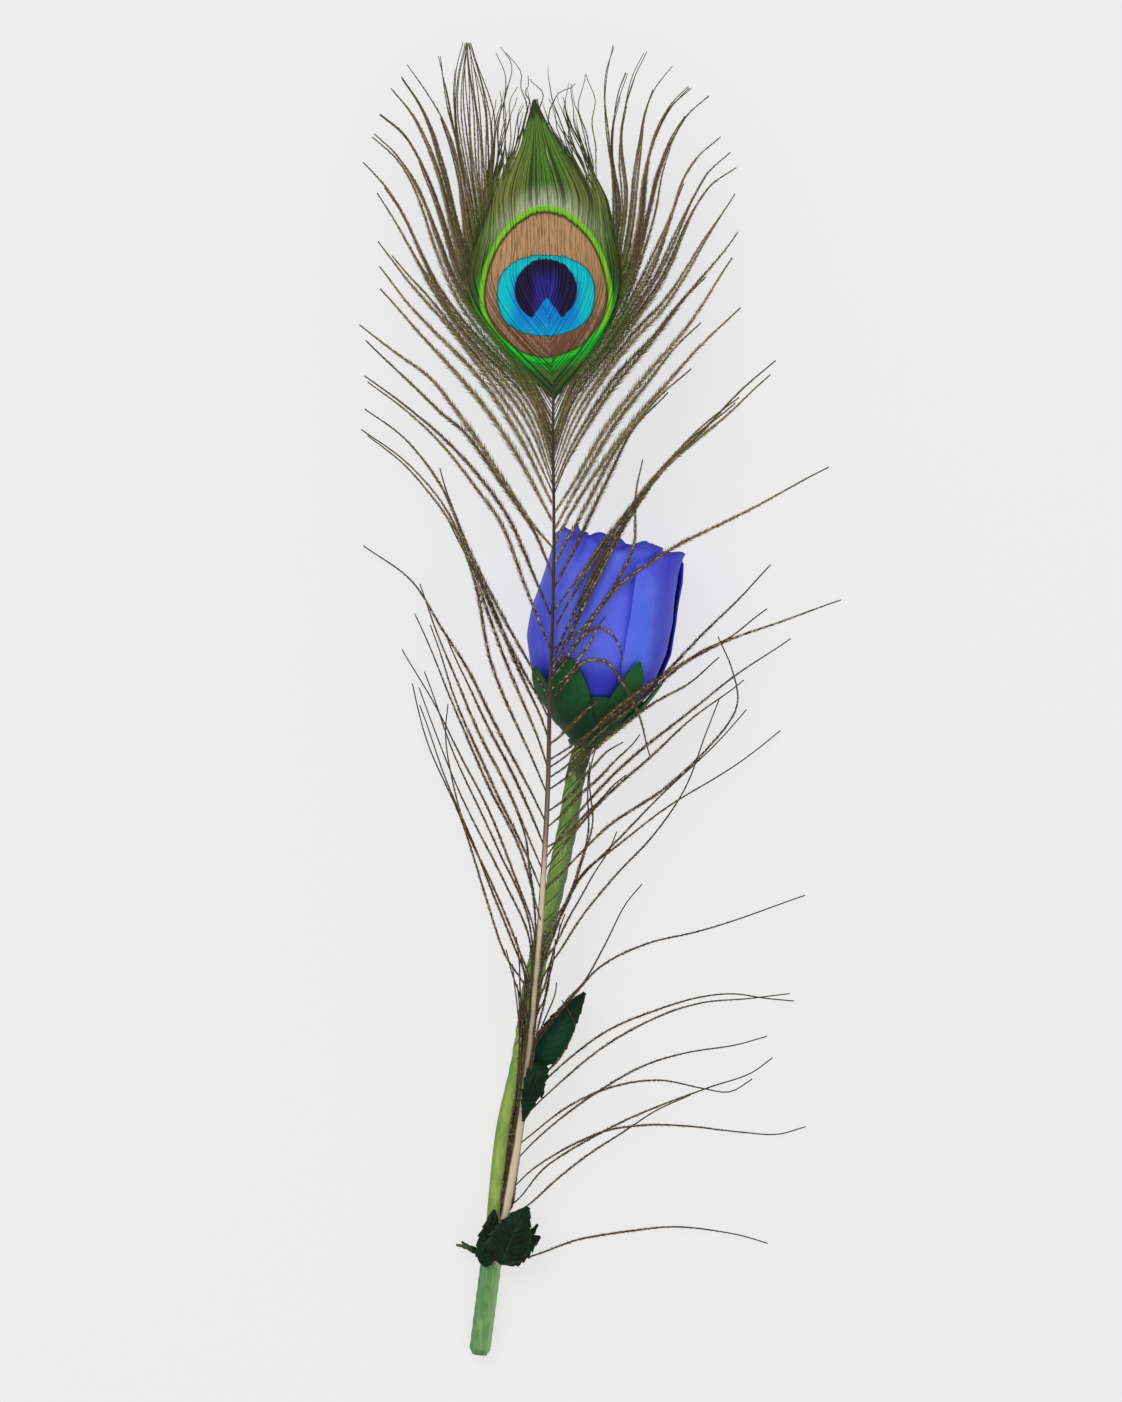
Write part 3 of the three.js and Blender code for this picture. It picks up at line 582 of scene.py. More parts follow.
def heart_point(u, v):
    """The rolled heart of the bud, a scroll of one and a half turns."""
    along = HEART_FROM + (HEART_TO - HEART_FROM + HEART_RUFFLE * math.sin(11 * u)) * v
    radius = HEART_RADIUS * (0.45 + 0.5 * u) * (0.7 + 0.3 * v)
    return bud_point(along, radius, HEART_TURN * u)


def sepal_point(sepal, u, v):
    """A sepal: wide at its foot, pointed at its tip and standing off a little there."""
    degrees, reach, half_width = sepal
    edge = abs(2 * u - 1)
    along = SEPAL_FROM + (reach - SEPAL_FROM) * v
    base = bud_radius(along) + SEPAL_GAP
    taper = (1 - v ** 2.6) ** 0.8 * (1.0 - 0.15 * (1 - v))
    aside = (2 * u - 1) * half_width * taper
    radius = base + SEPAL_TIP_LIFT * v * v - SEPAL_KEEL * (1 - edge) * (1 - v)
    radius += SEPAL_CURL * edge ** 3 * math.sin(5 * v + degrees)
    return bud_point(along, radius, degrees + math.degrees(aside / max(base, 4.0)))


def leaf_points(half_width, teeth, depth, *line):
    """A toothed leaf round a midrib, with its edges lower than its middle."""
    curve = spline(line, steps=60)

    def point(u, v):
        place = v * (len(curve) - 1)
        first = min(int(place), len(curve) - 2)
        middle = curve[first].lerp(curve[first + 1], place - first)
        across, up = path_frame((curve[first + 1] - curve[first]).normalized())
        ragged = 0.7 + 0.6 * scatter(int(v * teeth) + 7 * teeth)
        tooth = 1 + depth * ragged * (1 - (v * teeth) % 1.0) * (1 if v < 0.98 else 0)
        half = half_width * tooth * max(0.10, math.sin(math.pi * v ** 0.66) ** 0.8) * 0.92
        share = 2 * u - 1
        lift = -LEAF_FALL * half_width * share ** 2 - MIDRIB_DEPTH * hill(share, 0.0, 0.12)
        lift += LEAF_WAVE * math.sin(v * teeth * math.pi - abs(share) * 4) * abs(share)
        return middle + across * (share * half) + up * lift

    return point


def cup_point(u, v):
    """The cup that the sepals grow from, round the foot of the bud."""
    lobes = CUP_LOBE_HEIGHT * math.sin(CUP_LOBES * math.tau * u)
    along = -CUP_DEPTH + (CUP_HEIGHT + CUP_DEPTH) * v + lobes * v ** 3
    risen = along + CUP_DEPTH
    if along > 0:
        radius = bud_radius(along) + CUP_GAP
    else:
        radius = CUP_FOOT_RADIUS + 0.9 * risen / CUP_DEPTH
    radius = min(radius, 3.6 + 1.75 * risen)
    return bud_point(along, radius, 360.0 * u)


# ---------------------------------------------------------------- barbs as paths

# How far above its own root a low barb leaves the shaft, in steps of the grid, the length of a
# step along a barb, how late it falls towards its tip and how far it waves up and down.
SHAFT_LEAN = 62
BARB_STEP = 1.6
DROOP = 1.7
BARB_WAVE = 0.35
# Barbs lean between these heights of the grid, and those that lean by more than a little stand
# off the shaft by these distances.
LEAN_BEGINS = (870, 960)
LEAN_ENDS = (1110, 1070)
LITTLE_LEAN = 20
LEAN_APART = 1.1
LEAN_APART_CHANCE = 0.9
LEAN_ROOT_APART = 0.9


class Barb:
    """A barb's path from root to tip, with its width along it and its shade."""

    def __init__(self, points, widths, shade):
        self.points = points
        self.widths = widths
        self.shade = shade


def plan_points(row):
    """A row's path from the shaft to the tip. Low on the shaft, barbs run along it first."""
    lean = SHAFT_LEAN * smoothstep(*LEAN_BEGINS, row[0]) * smoothstep(*LEAN_ENDS, row[0])
    root = shaft_at(on_plan((0, row[0] + lean))[1])
    path = [on_plan(p) for p in reversed(row[2:])]
    if lean > LITTLE_LEAN:
        beside = shaft_at(on_plan((0, row[0] + 6))[1])
        apart = LEAN_APART + LEAN_APART_CHANCE * scatter(row[0])
        side = math.copysign(1.0, path[0][0] - beside.x)
        path.insert(0, (beside.x + side * apart, beside.y))
        root.x += LEAN_ROOT_APART * side
    return [(root.x, root.y), *path]


# How full the barbs are, by the height of the grid where they leave the shaft.
FULLNESS = [
    (220, 0.26), (330, 0.5), (370, 0.56), (400, 0.8), (430, 1.05), (480, 1.2), (520, 1.4), (560, 1.2),
    (640, 0.95), (700, 0.9), (850, 0.75), (930, 0.66), (985, 0.5),
]


def grown(plan, root_z, tip_z, shade, kink, slim=0.2, rooted=0.4):
    """A barb over a plan path: it falls from the shaft to its tip and passes over the bud.

    Kink is how far it sways in millimetres. Slim and rooted are its share of the full width at
    the tip and at the root.
    """
    full = table_at(FULLNESS, GRID_MIDDLE[1] - plan[0][1] / GRID)
    length = sum(math.dist(p, q) for p, q in zip(plan, plan[1:]))
    steps = max(10, round(length / BARB_STEP))
    curve = spline([(x, y, 0.0) for x, y in plan], steps)
    points, widths = [], []
    for k, p in enumerate(curve):
        t = k / steps
        sway = kink * math.sin(t * 17 + shade * 40) * t
        z = root_z + (tip_z - root_z) * t ** DROOP
        z += BARB_WAVE * math.sin(t * 9 + shade * 25) * t
        z = max(z, BARB_REST, bud_top(p.x, p.y) + shade * 0.5)
        points.append(Vector((p.x + sway, p.y - sway * 0.4, z)))
        even = min(1.0, slim + (1 - slim) * 1.9 * (1 - t))
        widths.append(full * even * min(1.0, rooted + 2.4 * t))
    points = settled(points)
    for point in points:
        point.z = min(point.z, eye_roof(point.x, point.y))
    return Barb(points, widths, shade)


def settled(points):
    """Eases sharp steps in height, never downwards."""
    heights = [p.z for p in points]
    for _ in range(3):
        eased = heights[:]
        for k in range(1, len(heights) - 1):
            eased[k] = max(heights[k], (heights[k - 1] + heights[k + 1]) / 2)
        heights = eased
    return [Vector((p.x, p.y, z)) for p, z in zip(points, heights)]


def root_height(row):
    return shaft_at(on_plan((0, row[0]))[1]).z


def single_barbs(rows, first_seed):
    barbs = []
    for k, row in enumerate(rows):
        shade = scatter(first_seed + k)
        barbs.append(grown(plan_points(row), root_height(row), row[1], shade, kink=0.25))
    return barbs


def wisp_barbs(rows, first_seed):
    """Wisps that leave the eye's surface at their roots."""
    barbs = []
    for k, row in enumerate(rows):
        plan = [on_plan(p) for p in reversed(row[1:])]
        high = eye_surface(*row[-1]).z
        barbs.append(grown(plan, high, row[0], scatter(first_seed + k), kink=0.5, slim=0.35))
    return barbs


# The barbs between two drawn ones of a fan: the points of their path, how far they drift to one
# side as a share of the space, how near they cling to a drawn barb and over which points, the
# distance of the drawn tips in grid steps above which they do so, by how many points they may end
# short, and how much higher their tips may lie.
FAN_STEPS = 12
FAN_DRIFT = 0.5
FAN_CLING = 0.9
FAN_CLINGS_OVER = (4, 11)
FAN_TIPS_APART = 12
FAN_ENDS_SHORT = 2.4
FAN_TIP_RISE = 3


def fan_barbs(rows, fill, first_seed):
    """The drawn barbs of a fan and those between them."""
    samples = [spline([(x, y, 0.0) for x, y in plan_points(row)], FAN_STEPS) for row in rows]
    barbs = []
    seed = first_seed
    for k, row in enumerate(rows):
        more = fill[k] if k < len(rows) - 1 else 0
        for j in range(more + 1):
            seed += 1
            share = j / (more + 1)
            after = min(k + 1, len(rows) - 1)
            drift = (scatter(seed) - 0.5) * FAN_DRIFT / (more + 1) if j else 0.0
            # a barb between two others clings to one of them, unless all of them meet
            apart = j and math.dist(rows[k][2], rows[after][2]) > FAN_TIPS_APART
            cling = (round(share) - share) * FAN_CLING if apart else 0.0
            plan = []
            for i, (p, q) in enumerate(zip(samples[k], samples[after])):
                between = share + drift + cling * smoothstep(*FAN_CLINGS_OVER, i)
                plan.append(tuple(p.lerp(q, between))[:2])
            if apart:
                plan = plan[:len(plan) - round(scatter(seed + 50) * FAN_ENDS_SHORT)]
            high = root_height(row) + (root_height(rows[after]) - root_height(row)) * share
            tip_z = row[1] + (rows[after][1] - row[1]) * share
            tip_z += FAN_TIP_RISE * scatter(seed + 90)
            barbs.append(grown(plan, high, tip_z, scatter(seed + 7), kink=0.3, rooted=0.22))
    return barbs


# A barb of the eye has this many steps, and the last few run to a point.
EYE_BARB_STEPS = 36
EYE_BARB_POINT = 3
# Where the tips of the barbs lie, as a height of the grid and how much lower it may be: those in
# the cone, counted from the top of the outline, and the stray ones. Then the heights between
# which the cone closes and the barbs come apart and grow thin, and how far they then stand off
# and wave, in steps of the grid.
CONE_TIPS = (-4, 14)
STRAY_TIPS = (60, 135)
CONE_CLOSES = (252, 165)
BARBS_PART = (225, 90)
BARBS_THIN = (235, 120)
LOOSE_REACH = 3.0
STRAY_LOOSE_REACH = 16
STRAY_WAVE = 3.5
STRAY_WAVE_LENGTH = 17
# How much higher or lower a barb lies than the eye's surface, in millimetres.
EYE_BARB_LIFT = 0.10
EYE_BARB_LIFT_CHANCE = 0.22


def eye_barb(share, side, number):
    """A barb of the eye. Share runs from 0 beside the shaft to 1 at the outline."""
    shade = scatter(number * 3 + (5 if side > 0 else 11))
    root_v = eye_root(share)
    inner = min(share / CONE_SHARE, 1.0)
    stray = max(share - CONE_SHARE, 0.0) / (1.0 - CONE_SHARE)
    tip_v = EYE_OUTLINE[0][0] + CONE_TIPS[0] + CONE_TIPS[1] * scatter(number + 31) * inner
    if stray:
        tip_v = STRAY_TIPS[0] + STRAY_TIPS[1] * scatter(number + 17) ** 0.7
    pointed = EYE_BARB_STEPS - EYE_BARB_POINT
    points, widths = [], []
    for k in range(EYE_BARB_STEPS + 1):
        v = root_v + (tip_v - root_v) * k / EYE_BARB_STEPS
        cone = smoothstep(*CONE_CLOSES, v)
        reach = eye_reach(v, share, side)
        reach += cone * (inner - share) * table_at(EYE_OUTLINE, v, 1 if side < 0 else 2)
        reach += stray * table_at(STRAY_REACH, v)
        free = smoothstep(*BARBS_PART, v)
        loose = free * (shade - 0.5) * (LOOSE_REACH + STRAY_LOOSE_REACH * min(stray * 2, 1.0))
        wave = STRAY_WAVE * math.sin(v / STRAY_WAVE_LENGTH + shade * 30)
        loose += free * min(stray * 3, 1.0) * wave
        point = eye_surface(shaft_column(v) + side * reach + loose, v)
        point.z += (shade - 0.5) * EYE_BARB_LIFT_CHANCE + EYE_BARB_LIFT
        points.append(point)
        taper = 1.0 - (0.3 + 0.3 * min(stray * 3, 1.0)) * smoothstep(*BARBS_THIN, v)
        widths.append(taper * (1.0 if k < pointed else 0.3 + 0.23 * (EYE_BARB_STEPS - k)))
    return Barb(points, widths, shade)


def eye_barbs(count):
    barbs = []
    for side in (-1, 1):
        for k in range(count):
            barbs.append(eye_barb((k + 0.5) / count, side, k + (0 if side < 0 else count)))
    return barbs


# ---------------------------------------------------------------- meshes

def new_object(name, mesh):
    obj = bpy.data.objects.new(name, mesh)
    bpy.context.scene.collection.objects.link(obj)
    return obj


def new_mesh(name, corners, edges, faces, **numbers):
    """A mesh from points of the drawing, with named numbers for each point."""
    mesh = bpy.data.meshes.new(name)
    mesh.from_pydata([placed(*p) for p in corners], edges, faces)
    for label, values in numbers.items():
        mesh.attributes.new(label, "FLOAT", "POINT").data.foreach_set("value", values)
    return mesh


def outward(mesh):
    """Turns a closed mesh's faces outwards."""
    shape = bmesh.new()
    shape.from_mesh(mesh)
    bmesh.ops.recalc_face_normals(shape, faces=shape.faces)
    shape.to_mesh(mesh)
    shape.free()


def evaluated(obj):
    """A plain mesh of an object as its modifiers leave it."""
    depsgraph = bpy.context.evaluated_depsgraph_get()
    depsgraph.update()
    return bpy.data.meshes.new_from_object(obj.evaluated_get(depsgraph))


def path_mesh(name, barbs):
    """The barbs as chains of edges, with the width and shade of each point."""
    corners, edges, widths, shades = [], [], [], []
    for barb in barbs:
        first = len(corners)
        corners += barb.points
        edges += [(first + k, first + k + 1) for k in range(len(barb.points) - 1)]
        widths += barb.widths
        shades += [barb.shade] * len(barb.points)
    return new_mesh(name, corners, edges, [], width=widths, shade=shades)


# How many flats a swept body has round it, and into how many columns and rows a sheet is divided.
SWEPT_SIDES = 28
PETAL_GRID = (44, 56)
HEART_GRID = (72, 30)
SEPAL_GRID = (20, 36)
CUP_GRID = (96, 24)
LEAF_GRID = (18, 72)


def swept(name, path, section):
    """A body along a path. Section gives the radius at an angle and a distance in millimetres."""
    sides = SWEPT_SIDES
    corners, along, side_share, top_share = [], [], [], []
    distance = 0.0
    for k, p in enumerate(path):
        ahead = path[min(k + 1, len(path) - 1)] - path[max(k - 1, 0)]
        ahead.normalize()
        across, up = path_frame(ahead)
        distance += (p - path[k - 1]).length if k else 0.0
        for j in range(sides):
            angle = math.tau * j / sides
            radius = section(angle, distance)
            corners.append(
                p + across * (radius * math.cos(angle)) + up * (radius * math.sin(angle)))
            along.append(distance)
            side_share.append(math.cos(angle))
            top_share.append(math.sin(angle))
    faces = []
    for k in range(len(path) - 1):
        for j in range(sides):
            a, b = k * sides + j, k * sides + (j + 1) % sides
            faces.append((a, b, b + sides, a + sides))
    faces += [tuple(reversed(range(sides))), tuple(range(len(corners) - sides, len(corners)))]
    mesh = new_mesh(name, corners, [], faces, along=along, side=side_share, top=top_share)
    outward(mesh)
    return new_object(name, mesh)


def sheet(name, points, grid, thickness):
    """Thin curved sheets. Each function of points gives a place for shares across and up."""
    columns, rows = grid
    corners, faces, across, upward = [], [], [], []
    for point in points:
        first = len(corners)
        for j in range(rows + 1):
            for i in range(columns + 1):
                corners.append(point(i / columns, j / rows))
                across.append(i / columns)
                upward.append(j / rows)
        for j in range(rows):
            for i in range(columns):
                a = first + j * (columns + 1) + i
                faces.append((a, a + 1, a + columns + 2, a + columns + 1))
    obj = new_object(name, new_mesh(name, corners, [], faces, across=across, upward=upward))
    shell = obj.modifiers.new("Thickness", "SOLIDIFY")
    shell.thickness = thickness
    shell.offset = 0.0
    mesh = evaluated(obj)
    obj.modifiers.clear()
    obj.data = mesh
    outward(mesh)
    return obj


def path_table(path):
    """The distance along a path and the height of the drawing at each of its points."""
    run = 0.0
    table = []
    for k, p in enumerate(path):
        run += (p - path[k - 1]).length if k else 0.0
        table.append((run, -p.y))
    return table


# ---------------------------------------------------------------- node trees

class Output:
    """An output of a node. A sum or product of outputs adds the node that works it out."""

    def __init__(self, nodes, socket):
        self.nodes = nodes
        self.socket = socket

    def __add__(self, other):
        return self.nodes.math("ADD", self, other)

    def __sub__(self, other):
        return self.nodes.math("SUBTRACT", self, other)

    def __rsub__(self, other):
        return self.nodes.math("SUBTRACT", other, self)

    def __mul__(self, other):
        return self.nodes.math("MULTIPLY", self, other)

    def __truediv__(self, other):
        return self.nodes.math("DIVIDE", self, other)

    def __pow__(self, other):
        return self.nodes.math("POWER", self, other)

    def __abs__(self):
        return self.nodes.math("ABSOLUTE", self)

    def at_least(self, other):
        return self.nodes.math("MAXIMUM", self, other)


class Nodes:
    """Adds nodes to a node tree and links them."""

    def __init__(self, tree):
        self.tree = tree

    def feed(self, socket, value):
        """Links an output to an input, or sets the input's own value."""
        if isinstance(value, Output):
            self.tree.links.new(value.socket, socket)
        else:
            socket.default_value = value

    def node(self, kind, result=0, **inputs):
        """Adds a node. Names with a leading underscore are its settings, the rest its inputs."""
        made = self.tree.nodes.new(kind)
        for name in [n for n in inputs if n.startswith("_")]:
            setattr(made, name[1:], inputs.pop(name))
        for name, value in inputs.items():
            found = [s for s in made.inputs if s.identifier == name]
            socket = found[0] if found else made.inputs[name.replace("__", " ")]
            for item in value if isinstance(value, list) else [value]:
                self.feed(socket, item)
        return Output(self, made.outputs[result])

    def math(self, operation, a, b=0.0):
        return self.node("ShaderNodeMath", _operation=operation, Value=a, Value_001=b)

    def vector(self, operation, a, b=(0.0, 0.0, 0.0)):
        return self.node("ShaderNodeVectorMath", _operation=operation, Vector=a, Vector_001=b)

    def scaled(self, a, factor):
        return self.node("ShaderNodeVectorMath", _operation="SCALE", Vector=a, Scale=factor)

    def step(self, x, low, high, to_low=0.0, to_high=1.0):
        """A smooth step of x between two values, also where the first is the higher."""
        if low > high:
            low, high, to_low, to_high = high, low, to_high, to_low
        return self.node("ShaderNodeMapRange", _interpolation_type="SMOOTHSTEP", Value=x,
                         From__Min=low, From__Max=high, To__Min=to_low, To__Max=to_high)


class Tree(Nodes):
    """A geometry node tree with named inputs."""

    def __init__(self, name):
        super().__init__(bpy.data.node_groups.new(name, "GeometryNodeTree"))
        for way in ("INPUT", "OUTPUT"):
            self.tree.interface.new_socket("Geometry", in_out=way,
                                           socket_type="NodeSocketGeometry")
        self.entry = self.tree.nodes.new("NodeGroupInput")
        self.exit = self.tree.nodes.new("NodeGroupOutput")

    def value(self, name, default, kind="Float", subtype="DISTANCE"):
        """A named input of the tree."""
        socket = self.tree.interface.new_socket(
            name, in_out="INPUT", socket_type="NodeSocket" + kind)
        if default is not None:
            socket.default_value = default
        if kind == "Float":
            socket.subtype = subtype
        return Output(self, self.entry.outputs[name])

    def chance(self, low, high, seed):
        return self.node("FunctionNodeRandomValue", result=1, _data_type="FLOAT",
                         Min_001=low, Max_001=high, Seed=seed)

    def attribute(self, name):
        return self.node("GeometryNodeInputNamedAttribute", _data_type="FLOAT", Name=name)

    def paths(self):
        """The incoming edges as curves whose profiles stand upright."""
        edges = Output(self, self.entry.outputs["Geometry"])
        curves = self.node("GeometryNodeMeshToCurve", Mesh=edges)
        return self.node("GeometryNodeSetCurveNormal", Curve=curves, _mode="Z_UP")

    def finish(self, geometry):
        """Ends the tree with plain mesh in the material that is its last input."""
        material = self.value("Material", None, kind="Material")
        whole = self.node("GeometryNodeRealizeInstances", Geometry=geometry)
        coated = self.node("GeometryNodeSetMaterial", Geometry=whole, Material=material)
        self.feed(self.exit.inputs["Geometry"], coated)
        return self.tree


def colour(red, green, blue):
    """A screen colour as the linear colour of a shader."""
    shares = [v / 255 for v in (red, green, blue)]
    linear = [v / 12.92 if v < 0.04045 else ((v + 0.055) / 1.055) ** 2.4 for v in shares]
    return (*linear, 1.0)


class Coat(Nodes):
    """A material with one surface shader and a body colour that is painted over in steps."""

    def __init__(self, name, roughness, specular, body=(0.5, 0.5, 0.5, 1.0)):
        self.material = bpy.data.materials.new(name)
        self.material.use_nodes = True
        super().__init__(self.material.node_tree)
        self.shader = self.tree.nodes["Principled BSDF"]
        self.body = body
        self.material.diffuse_color = body
        self.link(body, "Base Color")
        self.link(roughness, "Roughness")
        self.link(specular, "Specular IOR Level")

    def link(self, value, name):
        self.feed(self.shader.inputs[name], value)

    def paint(self, shade, cover):
        """Lays a colour over the body, as far as cover says."""
        self.body = self.mix(cover, self.body, shade)

    def finished(self):
        self.link(self.body, "Base Color")
        return self.material

    def place(self, middle=(0.0, 0.0, 0.0), turn=0.0, scale=(1.0, 1.0, 1.0)):
        """Object coordinates in millimetres from a middle point, turned and then scaled."""
        source = self.node("ShaderNodeTexCoord", result=3)
        moved = self.node("ShaderNodeMapping", Vector=source, Location=tuple(-v for v in middle),
                          Scale=(1 / MM, 1 / MM, 1 / MM))
        return self.node("ShaderNodeMapping", Vector=moved, Rotation=(0.0, 0.0, turn), Scale=scale)

    def stretched(self, at, across, along):
        """Coordinates for a pattern that runs along Y."""
        return self.node("ShaderNodeMapping", Vector=at, Scale=(across, along, across))

    def split(self, at):
        """The X and the Y of coordinates."""
        return [self.node("ShaderNodeSeparateXYZ", result=k, Vector=at) for k in range(2)]

    def value(self, name):
        return self.node("ShaderNodeAttribute", result=2, _attribute_name=name)

    def noise(self, at, scale, detail=2.0, roughness=0.5):
        return self.node("ShaderNodeTexNoise", Vector=at, Scale=scale, Detail=detail,
                         Roughness=roughness)

    def mix(self, factor, a, b):
        return self.node("ShaderNodeMix", result=2, _data_type="RGBA", Factor_Float=factor,
                         A_Color=a, B_Color=b)

    def ramp(self, factor, *stops):
        made = self.tree.nodes.new("ShaderNodeValToRGB")
        points = made.color_ramp.elements
        while len(points) < len(stops):
            points.new(0.5)
        for point, (position, shade) in zip(points, stops):
            point.position = position
            point.color = shade
        self.feed(made.inputs[0], factor)
        return Output(self, made.outputs[0])

    def bump(self, height, strength, distance):
        normal = self.node("ShaderNodeBump", Height=height, Strength=strength, Distance=distance)
        self.link(normal, "Normal")


# Barbules: the angle at which they leave a barb, and how much the angle, their rise and their
# length vary. Then how far a barb's own shaft lies above them, in metres.
BARBULE_ANGLE = math.radians(24)
ANGLE_CHANCE = (-0.14, 0.16)
RISE_CHANCE = (-0.16, 0.12)
LENGTH_CHANCE = (0.6, 1.2)
RIB_LIFT = 0.00006


def barb_tree():
    """Loose barbs: a thin shaft along each path and two rows of fine barbules along it."""
    t = Tree("Loose barbs")
    radius = t.value("Shaft Radius", 0.00016)
    spacing = t.value("Barbule Spacing", 0.00028)
    length = t.value("Barbule Length", 0.00085)
    thickness = t.value("Barbule Thickness", 0.00011)
    angle = t.value("Barbule Angle", BARBULE_ANGLE, subtype="ANGLE")
    seed = t.value("Seed", 1, kind="Int")

    paths = t.paths()
    width = t.attribute("width")
    profile = t.node("GeometryNodeCurvePrimitiveCircle", Resolution=4, Radius=radius)
    fullness = t.node("ShaderNodeMapRange", Value=width, From__Max=1.5, To__Min=0.4, To__Max=1.0)
    shafts = t.node("GeometryNodeCurveToMesh", Curve=paths, Profile__Curve=profile,
                    Scale=fullness, Fill__Caps=True)
    shafts = t.node("GeometryNodeTransform", Geometry=shafts, Translation=(0.0, 0.0, RIB_LIFT))
    shafts = t.node("GeometryNodeStoreNamedAttribute", Geometry=shafts, _data_type="FLOAT",
                    _domain="POINT", Name="rib", Value=1.0)

    stops = t.node("GeometryNodeResampleCurve", Curve=paths, _mode="LENGTH", Length=spacing)
    along = t.node("GeometryNodeInputTangent")
    across = t.vector("NORMALIZE", t.vector("CROSS_PRODUCT", along, (0.0, 0.0, 1.0)))
    spike = t.node("GeometryNodeMeshCone", Vertices=3, Side__Segments=1, Fill__Segments=1,
                   Radius__Top=0.0, Radius__Bottom=thickness, Depth=length)
    rows = [shafts]
    for side, own_seed in ((-1.0, seed + 0.0), (1.0, seed + 10.0)):
        lean = angle + t.chance(*ANGLE_CHANCE, own_seed)
        out = t.scaled(across, t.math("SINE", lean) * side)
        forward = t.scaled(along, t.math("COSINE", lean))
        rise = t.node("ShaderNodeCombineXYZ", Z=t.chance(*RISE_CHANCE, own_seed + 3.0))
        aim = t.vector("ADD", t.vector("ADD", out, forward), rise)
        turn = t.node("FunctionNodeAlignRotationToVector", _axis="Z", Vector=aim)
        size = width * t.chance(*LENGTH_CHANCE, own_seed + 5.0)
        rows.append(t.node(
            "GeometryNodeInstanceOnPoints", Points=stops, Instance=spike, Rotation=turn,
            Scale=t.node("ShaderNodeCombineXYZ", X=1.0, Y=1.0, Z=size)))
    return t.finish(t.node("GeometryNodeJoinGeometry", Geometry=rows))


def ribbon_tree():
    """Close barbs: a flat ribbon with a raised middle along each path."""
    t = Tree("Eye barbs")
    width = t.value("Ribbon Width", 0.00062)
    height = t.value("Ridge Height", 0.00014)
    kite = t.node("GeometryNodeCurvePrimitiveCircle", Resolution=4, Radius=0.5)
    stretch = t.node("ShaderNodeCombineXYZ", X=width, Y=height, Z=1.0)
    profile = t.node("GeometryNodeTransform", Geometry=kite, Scale=stretch)
    return t.finish(t.node(
        "GeometryNodeCurveToMesh", Curve=t.paths(), Profile__Curve=profile,
        Scale=t.attribute("width"), Fill__Caps=True))


def grown_mesh(name, barbs, tree, material, **sizes):
    """Runs a node tree over the barbs' paths and returns the result as a plain object."""
    source = new_object(name + "_paths", path_mesh(name + "_paths", barbs))
    modifier = source.modifiers.new("Barbs", "NODES")
    modifier.node_group = tree
    names = {s.name: s.identifier for s in tree.interface.items_tree if s.in_out == "INPUT"}
    modifier[names["Material"]] = material
    for label, value in sizes.items():
        modifier[names[label.replace("_", " ")]] = value
    mesh = evaluated(source)
    source.modifiers.remove(modifier)
    bpy.data.objects.remove(source)
    mesh.name = name
    return new_object(name, mesh)


# ---------------------------------------------------------------- materials

# Distances are in millimetres, shares of a surface and strengths run from 0 to 1.
EYE_MIDDLE = (-3.75, 102.5, 0.0)
# Egg shapes: how far their middle lies above the eye's, their half width, how far they reach up
# and down from their middle, and how square they are.
EYE_EGG = (-1.6, 15.3, 21.1, 15.2, 1.86)
TURQUOISE_EGG = (-1.0, 12.1, 9.7, 10.4, 2.35)
BARB_EGG = (-1.6, 15.3, 30.0, 17.0, 1.86)
SHAFT_LENGTH = 300.0
WRAP_PITCH = 20.0
WRAP_STARTS = 4
LEAF_VEINS = 9.0


def from_eye(coat):
    """Object coordinates in millimetres, counted from the middle of the eye."""
    return coat.place(Vector(EYE_MIDDLE) + DRAWING_SHIFT)


def from_bud(coat):
    """Object coordinates in millimetres, counted from the bud's foot and along its axis."""
    return coat.place(Vector(BUD_FOOT) + DRAWING_SHIFT, turn=BUD_TILT)


def egg_level(x, y, middle, half_width, up, down, power):
    """1 on the outline of an egg shape, less inside it and more outside."""
    high = y - middle
    tall = high.at_least(0.0) / up + (high * -1.0).at_least(0.0) / down
    return (tall ** power + (abs(x) / half_width) ** power) ** (1 / power)


